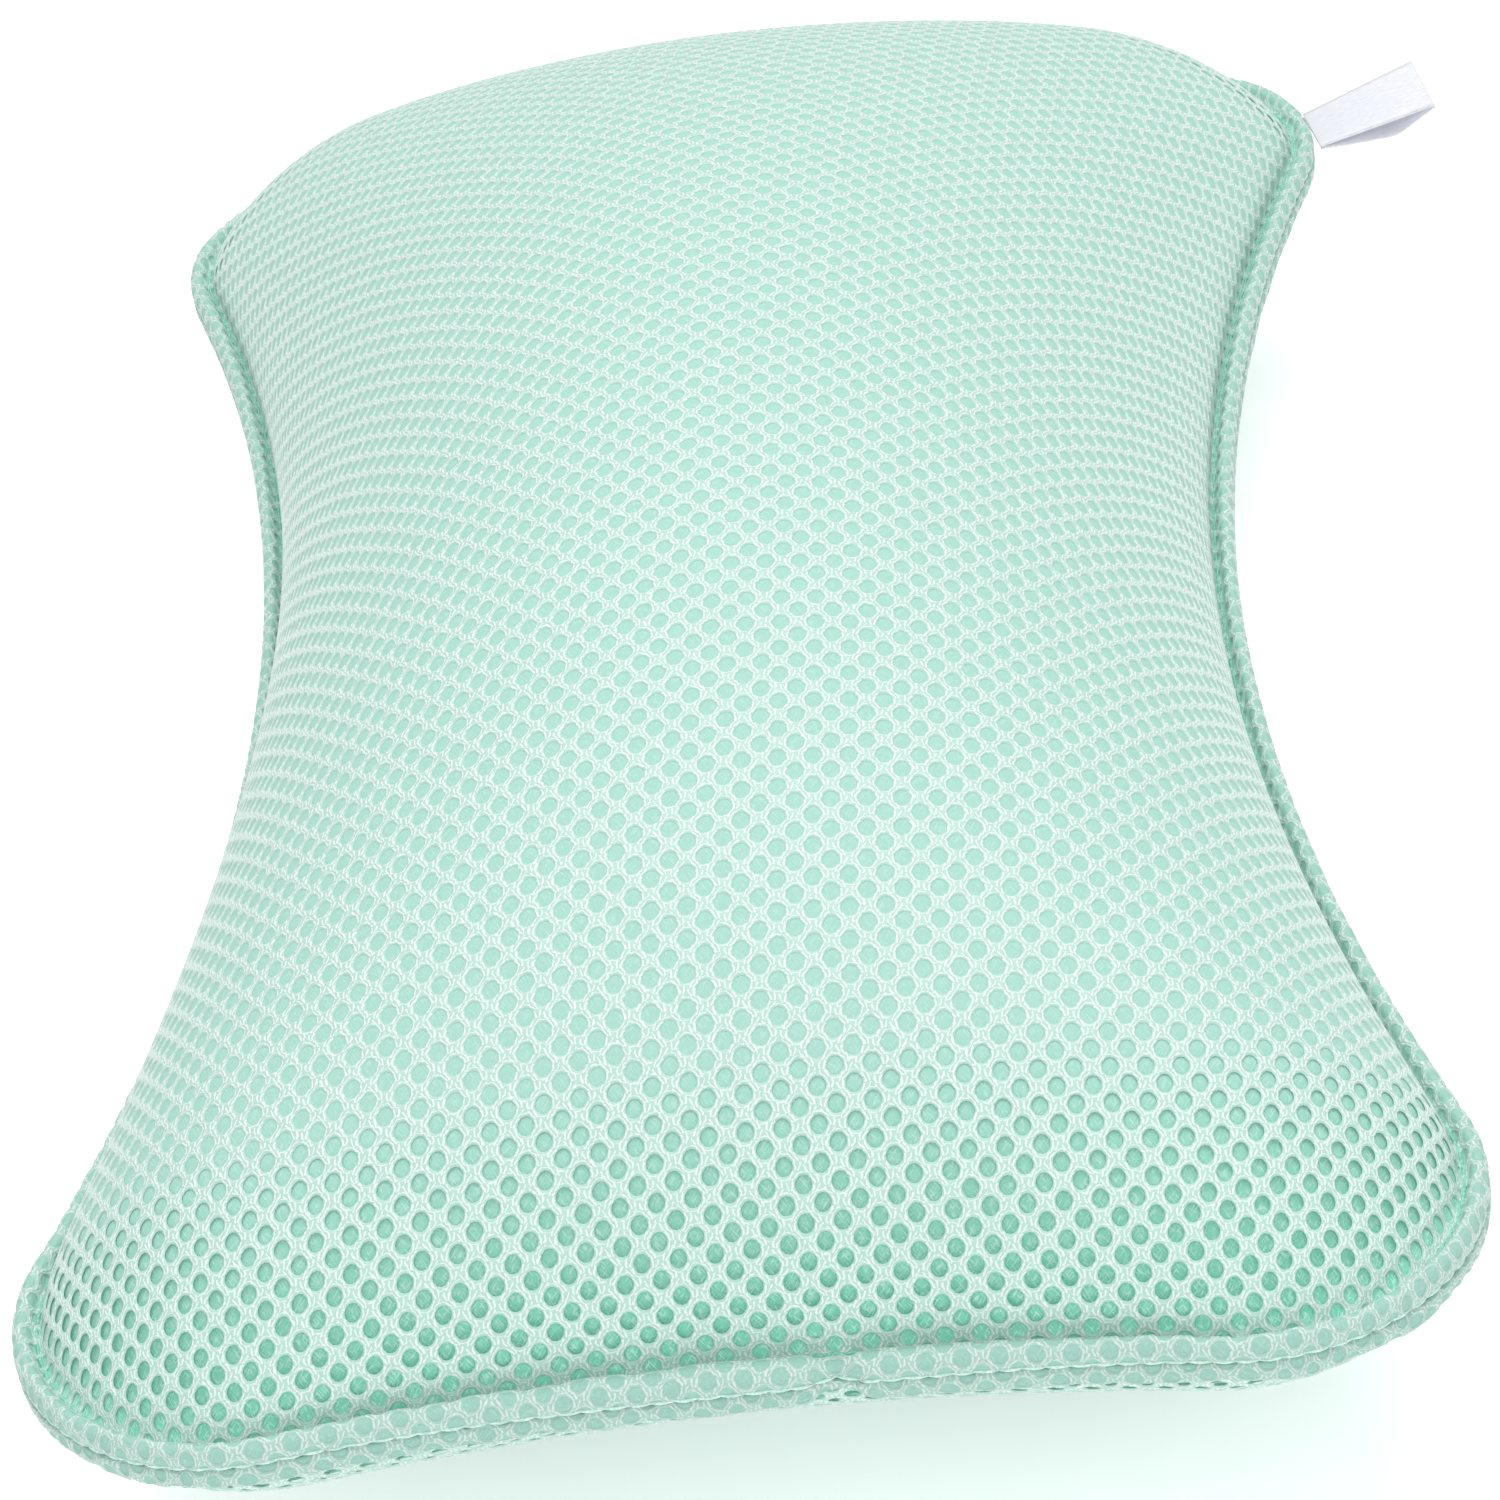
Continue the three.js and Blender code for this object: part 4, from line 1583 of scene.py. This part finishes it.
@dataclass
class HangingLoop:
    """Satin ribbon folded in two and sewn into the flange's seam at a far corner.

    Its upper layer is drawn straight, its lower layer hangs slack, and the fold is a sharp crease.

    Attributes:
        root: Point where the ribbon leaves the seam.
        heading: Angle of the loop from the X axis, in degrees.
        pitch: Angle of the loop above the level, in degrees.
        twist: Angle that the fold turns about the loop's length, in degrees.
        width: Of the ribbon.
        thickness: Of the ribbon.
        length: Of the loop.
        crease: Radius of the fold.
        slack: How far the lower layer hangs below the upper one.
        slack_place: Where it hangs lowest, from the root.
        bend: How far the lower layer's bend reaches along it.
        root_gap: Between the layers at the root.
        across: Points across the ribbon.
        along: Points along the ribbon.
        fold_steps: Points round the fold.
        bend_steps: Points on the lower layer's bend, less one.
    """

    root: Array
    heading: float = 10.0
    pitch: float = 13.0
    twist: float = 14.0
    width: float = 12.0
    thickness: float = 0.35
    length: float = 20.5
    crease: float = 0.3
    slack: float = 3.2
    slack_place: float = 13.0
    bend: float = 1.6
    root_gap: float = 0.5
    across: int = 13
    along: int = 84
    fold_steps: int = 7
    bend_steps: int = 10

    def centre_line(self) -> Array:
        """Draws the ribbon in the loop's side view: out along the top, round the fold and back.

        Returns:
            Rows of the distance from the root and the height over the loop's middle.
        """
        turn = np.linspace(0, math.pi, self.fold_steps)
        start = self.length - self.crease
        fold = np.stack([start + self.crease * np.sin(turn), self.crease * np.cos(turn)], -1)
        below = rounded([fold[-1], (self.slack_place, -self.slack), (0.0, -self.root_gap / 2)],
                        self.bend, self.bend_steps)
        whole = np.concatenate([[(0.0, self.root_gap / 2)], fold, below[1:]])
        run = run_along(whole)
        at = np.union1d(np.linspace(0, run[-1], self.along), run[1:len(fold) + 1])
        return resampled(whole, at)

    def axes(self, place: Array) -> tuple[Array, Array, Array]:
        """Directions along the loop, across the ribbon and over it.

        Args:
            place: Distances from the root.

        Returns:
            One direction along the loop, and rows of the other two, which turn with the twist.
        """
        turn, tilt = math.radians(self.heading), math.radians(self.pitch)
        out = np.array([math.cos(turn) * math.cos(tilt), math.sin(turn) * math.cos(tilt), math.sin(tilt)])
        side = np.array([-math.sin(turn), math.cos(turn), 0.0])
        over = np.cross(out, side)
        roll = np.radians(self.twist * place / self.length)[:, None]
        return out, side * np.cos(roll) + over * np.sin(roll), over * np.cos(roll) - side * np.sin(roll)

    def build(self, material: Material) -> Object:
        """Builds the ribbon at the frame's loop joint, in place of the frame's loop.

        Args:
            material: Finish of the ribbon.

        Returns:
            The ribbon.
        """
        line = self.centre_line()
        heading = unit(np.gradient(line, axis=0))
        outer = np.stack([-heading[:, 1], heading[:, 0]], -1)
        out, side, over = self.axes(line[:, 0])
        place = np.linspace(-self.width / 2, self.width / 2, self.across)
        layers = []
        for lift in (self.thickness / 2, -self.thickness / 2):
            profile = line + outer * lift
            middle = self.root + profile[:, :1] * out + profile[:, 1:] * over
            layers.append(middle[:, None] + place[:, None] * side[:, None])
        top, under = layers
        loop = np.concatenate([top, under[:, ::-1]], 1)
        rows, columns = loop.shape[:2]
        faces = [ring_faces(rows, columns), np.arange(columns)[None, ::-1],
                 (rows - 1) * columns + np.arange(columns)[None]]
        piece = make_piece("hanging_ribbon", loop.reshape(-1, 3), faces, material)
        run = run_along(line)
        across = np.concatenate([place, place[::-1]])
        flat = np.stack(np.broadcast_arrays(across[None], run[:, None], 0.0), -1)
        point_values(piece, "flat_place", flat.reshape(-1, 3))
        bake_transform(piece)
        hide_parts("hanging_loop")
        return piece


@dataclass
class SuctionCups:
    """Four soft cups on the back, each turning in a plastic eyelet that a washer holds in the panel.

    Attributes:
        deck: Height of the back's outer face.
        radius: Of a cup.
        rim_width: Of the flat ring that meets a wall.
        rim_thickness: Of the cup at its rim.
        hollow_depth: Of the underside.
        shoulder: Height where the flare meets the hub.
        flare_curve: Power of the flare's curve, from the rim up to the shoulder.
        hub_radius: Of the hub above the flare.
        stem_radius: Of the stem in the eyelet.
        head_radius: Of the head that keeps the stem in.
        head_height: Of that head.
        head_edge: Height of the head's upright edge.
        head_top: Radius of the head's top, as a share of the head's radius.
        eyelet_radius: Of an eyelet's flange.
        eyelet_thickness: Of that flange.
        eyelet_start: Height over its underside at which its section starts in the bore.
        barrel_wall: Of the barrel through the panel.
        barrel_stand: How far the barrel stands above the washer.
        panel_thickness: Of the back panel.
        washer_radius: Of a washer.
        washer_thickness: Of a washer.
        washer_start: Height over its underside at which its section starts in the bore.
        clearance: Between neighbouring pieces.
        rounding: Of the edges of the cups and eyelets.
        washer_rounding: Of a washer's edges.
        hollow_steps: Points on the section of the underside.
        flare_steps: Points on the section of the flare.
        segments: Steps round the axis.
    """

    deck: float = 14.0
    radius: float = 22.0
    rim_width: float = 1.8
    rim_thickness: float = 0.9
    hollow_depth: float = 6.2
    shoulder: float = 8.6
    flare_curve: float = 1.6
    hub_radius: float = 7.0
    stem_radius: float = 4.3
    head_radius: float = 6.2
    head_height: float = 2.8
    head_edge: float = 1.0
    head_top: float = 0.6
    eyelet_radius: float = 9.0
    eyelet_thickness: float = 1.3
    eyelet_start: float = 2.0
    barrel_wall: float = 1.3
    barrel_stand: float = 0.2
    panel_thickness: float = 3.2
    washer_radius: float = 9.5
    washer_thickness: float = 1.2
    washer_start: float = 0.5
    clearance: float = 0.3
    rounding: float = 0.5
    washer_rounding: float = 0.35
    hollow_steps: int = 12
    flare_steps: int = 14
    segments: int = 72

    @property
    def washer_top(self) -> float:
        """Height of the washer's upper face."""
        return self.deck + self.panel_thickness + self.clearance + self.washer_thickness

    @property
    def barrel_top(self) -> float:
        """Height of the barrel's upper end."""
        return self.washer_top + self.barrel_stand

    def cup_profile(self) -> Array:
        """Draws the section of a cup, from its hollow's middle round its outside to its head's middle.

        Returns:
            Rows of radius and height.
        """
        inside = self.radius - self.rim_width
        steps = np.linspace(0, 1, self.hollow_steps)
        hollow = [(inside * s, self.hollow_depth * (1 - s ** 2)) for s in steps]
        shares = np.linspace(1, 0, self.flare_steps)
        lift = (self.shoulder - self.rim_thickness) * (1 - shares) ** self.flare_curve
        flare = zip(self.hub_radius + (self.radius - self.hub_radius) * shares, self.rim_thickness + lift)
        hub_top = self.deck - self.clearance - self.eyelet_thickness - self.clearance
        head = self.barrel_top + self.clearance
        outside = [
            (self.hub_radius, hub_top), (self.stem_radius, hub_top), (self.stem_radius, head),
            (self.head_radius, head), (self.head_radius, head + self.head_edge),
            (self.head_radius * self.head_top, head + self.head_height), (0.0, head + self.head_height),
        ]
        rim = [hollow[-1], (self.radius, 0.0)]
        return np.concatenate([hollow[:-1], rounded([*rim, *flare, *outside], self.rounding, steps=3)])

    def eyelet_profile(self) -> Array:
        """Draws the section of an eyelet: the flange under the panel and the barrel through it.

        Returns:
            Rows of radius and height, with the first one again at the end.
        """
        bore = self.stem_radius + self.clearance
        low = self.deck - self.clearance - self.eyelet_thickness
        top, barrel = low + self.eyelet_thickness, bore + self.barrel_wall
        start = (bore, low + self.eyelet_start)
        corners = [
            start, (bore, low), (self.eyelet_radius, low), (self.eyelet_radius, top), (barrel, top),
            (barrel, self.barrel_top), (bore, self.barrel_top), start,
        ]
        return rounded(corners, self.rounding)

    def washer_profile(self) -> Array:
        """Draws the section of a washer.

        Returns:
            Rows of radius and height, with the first one again at the end.
        """
        bore = self.stem_radius + self.barrel_wall + 2 * self.clearance
        low = self.washer_top - self.washer_thickness
        start = (bore, low + self.washer_start)
        corners = [start, (bore, low), (self.washer_radius, low), (self.washer_radius, self.washer_top),
                   (bore, self.washer_top), start]
        return rounded(corners, self.washer_rounding, steps=3)

    def build(self, vinyl: Material, plastic: Material) -> list[Object]:
        """Builds the cups, eyelets and washers, and sets them in the frame.

        Args:
            vinyl: Finish of the cups.
            plastic: Finish of the eyelets and washers.

        Returns:
            The pieces.
        """
        kinds = [
            ("suction_cup", self.cup_profile(), vinyl, "clear_pvc"),
            ("eyelet", self.eyelet_profile(), plastic, "eyelet_plastic"),
            ("eyelet_washer", self.washer_profile(), plastic, "eyelet_plastic"),
        ]
        pieces = []
        for kind, profile, material, slot in kinds:
            for number in (1, 2, 3, 4):
                node = f"{kind}_{number}"
                low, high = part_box(node)
                points, faces = lathe(profile, self.segments)
                middle = (low + high) / 2 / MM
                piece = make_piece(f"{node}_moulding", points + (middle.x, middle.y, 0.0), [faces], material)
                weld(piece)
                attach(piece, f"cup_{number}" if kind == "suction_cup" else "pillow")
                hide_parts(node)
                pieces.append(piece)
        return pieces


def weld(piece: Object, distance: float = 0.001) -> None:
    """Joins the corners of a piece that lie in one place, such as those on a turned part's axis.

    Args:
        piece: Mesh object.
        distance: Corners nearer than this are joined.
    """
    shape = bmesh.new()
    shape.from_mesh(piece.data)
    bmesh.ops.remove_doubles(shape, verts=shape.verts, dist=distance * MM)
    bmesh.ops.dissolve_degenerate(shape, edges=shape.edges, dist=distance * MM)
    shape.to_mesh(piece.data)
    shape.free()


@dataclass
class FibreFill:
    """Loose fibre between the panels, a lumpy body that presses on their grounds.

    Attributes:
        panels: The two panels.
        depth: From a panel's outer face down to the fibre.
        inset: From the groove's inner edge in to the fibre.
        lump: Height of the lumps.
        lump_length: From lump to lump.
        lump_start: Where the lumps start along the pillow, in radians of their wave.
        rings: Rings of points on each half.
        column_step: Every so many of the outline's points has a column of the wad's points.
    """

    panels: dict[Side, Panel]
    depth: float = 3.8
    inset: float = 4.8
    lump: float = 0.5
    lump_length: float = 26.0
    lump_start: float = 1.0
    rings: int = 24
    column_step: int = 2

    def build(self, material: Material) -> Object:
        """Builds the filling and sets it in the frame.

        Args:
            material: Finish of the filling.

        Returns:
            The filling.
        """
        front, back = self.panels[Side.FRONT], self.panels[Side.BACK]
        outline = front.outline
        edge = outline.points()[::self.column_step]
        inner = outline.points(-self.inset)[::self.column_step]
        reaches = np.sin(np.linspace(0, math.pi / 2, self.rings))[:, None, None]
        plan, whole = inner * reaches, edge * reaches
        wave = 2 * math.pi / self.lump_length
        across, along = np.sin(wave * plan[..., 0]), np.sin(wave * plan[..., 1] + self.lump_start)
        lumps = self.lump * (across * along - 1)
        halves = []
        for panel in (front, back):
            share = panel.share(whole[..., 0], whole[..., 1])
            reach = panel.swell + panel.flange.stitched - self.depth
            height = front.seam + panel.side.value * (reach + lumps) * share
            halves.append(np.concatenate([plan, height[..., None]], -1))
        points = front.flange.drooped(np.concatenate([halves[0], halves[1][-2::-1]]))
        piece = make_piece("fibre_wad", points.reshape(-1, 3), [ring_faces(len(points), len(edge))], material)
        weld(piece)
        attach(piece, "pillow")
        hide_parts("fibre_fill")
        return piece


@dataclass(frozen=True)
class Softbox:
    """Square soft light that looks at the pillow.

    Attributes:
        name: Of the light.
        place: In metres.
        size: Of its side, in metres.
        power: In watts.
    """

    name: str
    place: tuple[float, float, float]
    size: float
    power: float

    def build(self, target: Array) -> None:
        """Adds the light.

        Args:
            target: Point that it looks at, in millimetres.
        """
        data = bpy.data.lights.new(self.name, "AREA")
        data.shape = "SQUARE"
        data.size = self.size
        data.energy = self.power
        lamp = bpy.data.objects.new(self.name, data)
        lamp.location = self.place
        aim = Vector(target * MM) - Vector(self.place)
        lamp.rotation_euler = aim.to_track_quat("-Z", "Y").to_euler()
        bpy.context.scene.collection.objects.link(lamp)


@dataclass
class Studio:
    """Pale floor, soft light and the camera at the photograph's angle.

    Attributes:
        target: Centre of the groove's floor, which the camera's place is measured from.
        camera_place: Of the lens, from the target.
        right: Direction of the picture's right edge.
        up: Direction of the picture's upper edge.
        lens: Focal length on a sensor of the given width.
        sensor: Width of the sensor.
        clip: Nearest and furthest distance that the camera sees, in metres.
        paper: Colour of the floor.
        paper_roughness: Of the floor.
        paper_glow: Strength of the floor's own light, which keeps it near white.
        floor_reach: From the middle of the floor to its sides.
        white: Colour of the light.
        world_strength: Of the light from all round.
        softboxes: Lights over and before the pillow.
    """

    target: Array
    camera_place: tuple[float, float, float] = (66.4, -696.8, 459.2)
    right: tuple[float, float, float] = (0.99037, 0.00198, -0.13848)
    up: tuple[float, float, float] = (0.11276, 0.56905, 0.81454)
    lens: float = 132.66
    sensor: float = 36.0
    clip: tuple[float, float] = (0.05, 20.0)
    paper: str = "#fafafa"
    paper_roughness: float = 0.9
    paper_glow: float = 0.3
    floor_reach: float = 6000.0
    white: str = "#ffffff"
    world_strength: float = 0.64
    softboxes: tuple[Softbox, ...] = (
        Softbox("overhead_softbox", (0.1, 0.35, 1.5), 1.2, 14.5),
        Softbox("front_softbox", (0.1, -1.2, 1.0), 1.0, 6.0),
    )

    def camera(self) -> None:
        """Sets up the camera."""
        data = bpy.data.cameras.new("photo_camera")
        data.lens = self.lens
        data.sensor_width = self.sensor
        data.clip_start, data.clip_end = self.clip
        camera = bpy.data.objects.new("photo_camera", data)
        right, up = Vector(self.right).normalized(), Vector(self.up)
        back = right.cross(up).normalized()
        up = back.cross(right)
        place = Vector((self.target + self.camera_place) * MM)
        camera.matrix_world = Matrix.Translation(place) @ Matrix((right, up, back)).transposed().to_4x4()
        bpy.context.scene.collection.objects.link(camera)
        bpy.context.scene.camera = camera

    def floor(self) -> None:
        """Lays a pale floor that reaches past the picture's edges."""
        material, tree = new_material("pale_studio_paper")
        paper = add_node(tree, "ShaderNodeBsdfPrincipled", {
            "Base Color": linear_colour(self.paper), "Roughness": self.paper_roughness,
            "Emission Color": linear_colour(self.white), "Emission Strength": self.paper_glow})
        add_node(tree, "ShaderNodeOutputMaterial", {"Surface": paper.outputs[0]})
        corners = np.array([[-1, -1, 0], [1, -1, 0], [1, 1, 0], [-1, 1, 0]]) * self.floor_reach
        make_piece("studio_floor", corners, [np.arange(4)[None]], material)

    def build(self) -> None:
        """Sets up the camera, the floor and the lights."""
        self.camera()
        self.floor()
        world = bpy.data.worlds.new("soft_studio")
        world.use_nodes = True
        background = world.node_tree.nodes["Background"].inputs
        background["Color"].default_value = linear_colour(self.white)
        background["Strength"].default_value = self.world_strength
        bpy.context.scene.world = world
        bpy.context.scene.view_settings.view_transform = "Standard"
        for softbox in self.softboxes:
            softbox.build(self.target)


def main() -> None:
    """Builds the pillow's pieces in order and sets up the studio."""
    logging.basicConfig(level=logging.INFO, format="%(name)s: %(message)s")
    eyelets = np.array([sum(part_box(f"eyelet_{number}"), Vector())[:2] for number in (1, 2, 3, 4)]) / 2 / MM
    flange = Flange(Outline(), level_place=eyelets[:, 1].max())
    middle = flange.drooped(np.zeros(3))
    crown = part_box("front_panel")[1].z / MM - middle[2]
    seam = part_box("joining_thread")[1].z / MM - middle[2] - Stitching.joining_radius
    front = Panel(Side.FRONT, flange, seam, crown - seam - flange.stitched, np.empty((0, 2)))
    back = Panel(Side.BACK, flange, seam, seam - SuctionCups.deck - flange.stitched, eyelets)
    panels = {Side.FRONT: front, Side.BACK: back}
    Studio(middle + (0.0, 0.0, front.floor)).build()
    mesh = front.mesh
    knit = KnittedFace(row_pitch=mesh.row_pitch, column_pitch=mesh.column_pitch,
                       hole_width=mesh.hole_width, hole_length=mesh.hole_length)
    face, ground = knit.material(), KnittedGround().material()
    for panel in panels.values():
        panel.build(face, ground)
    # The groove's thread is darker teal, partly its own colour and partly painted shade of the groove; the
    # seam's thread is paler.
    pale_thread = SpunThread(name="pale_spun_polyester_thread", colours=("#b4dccf", "#dcf1ea"))
    Stitching(flange).build(panels, SpunThread().material(), pale_thread.material())
    joint = next(j for j in frame["joints"] if j["name"] == "loop_bend")
    HangingLoop(np.array(joint["pos_m"]) / MM).build(WovenSatin().material())
    SuctionCups().build(ClearVinyl().material(), WhitePolypropylene().material())
    FibreFill(panels).build(CardedFibre().material())


if __name__ == "__main__":
    main()
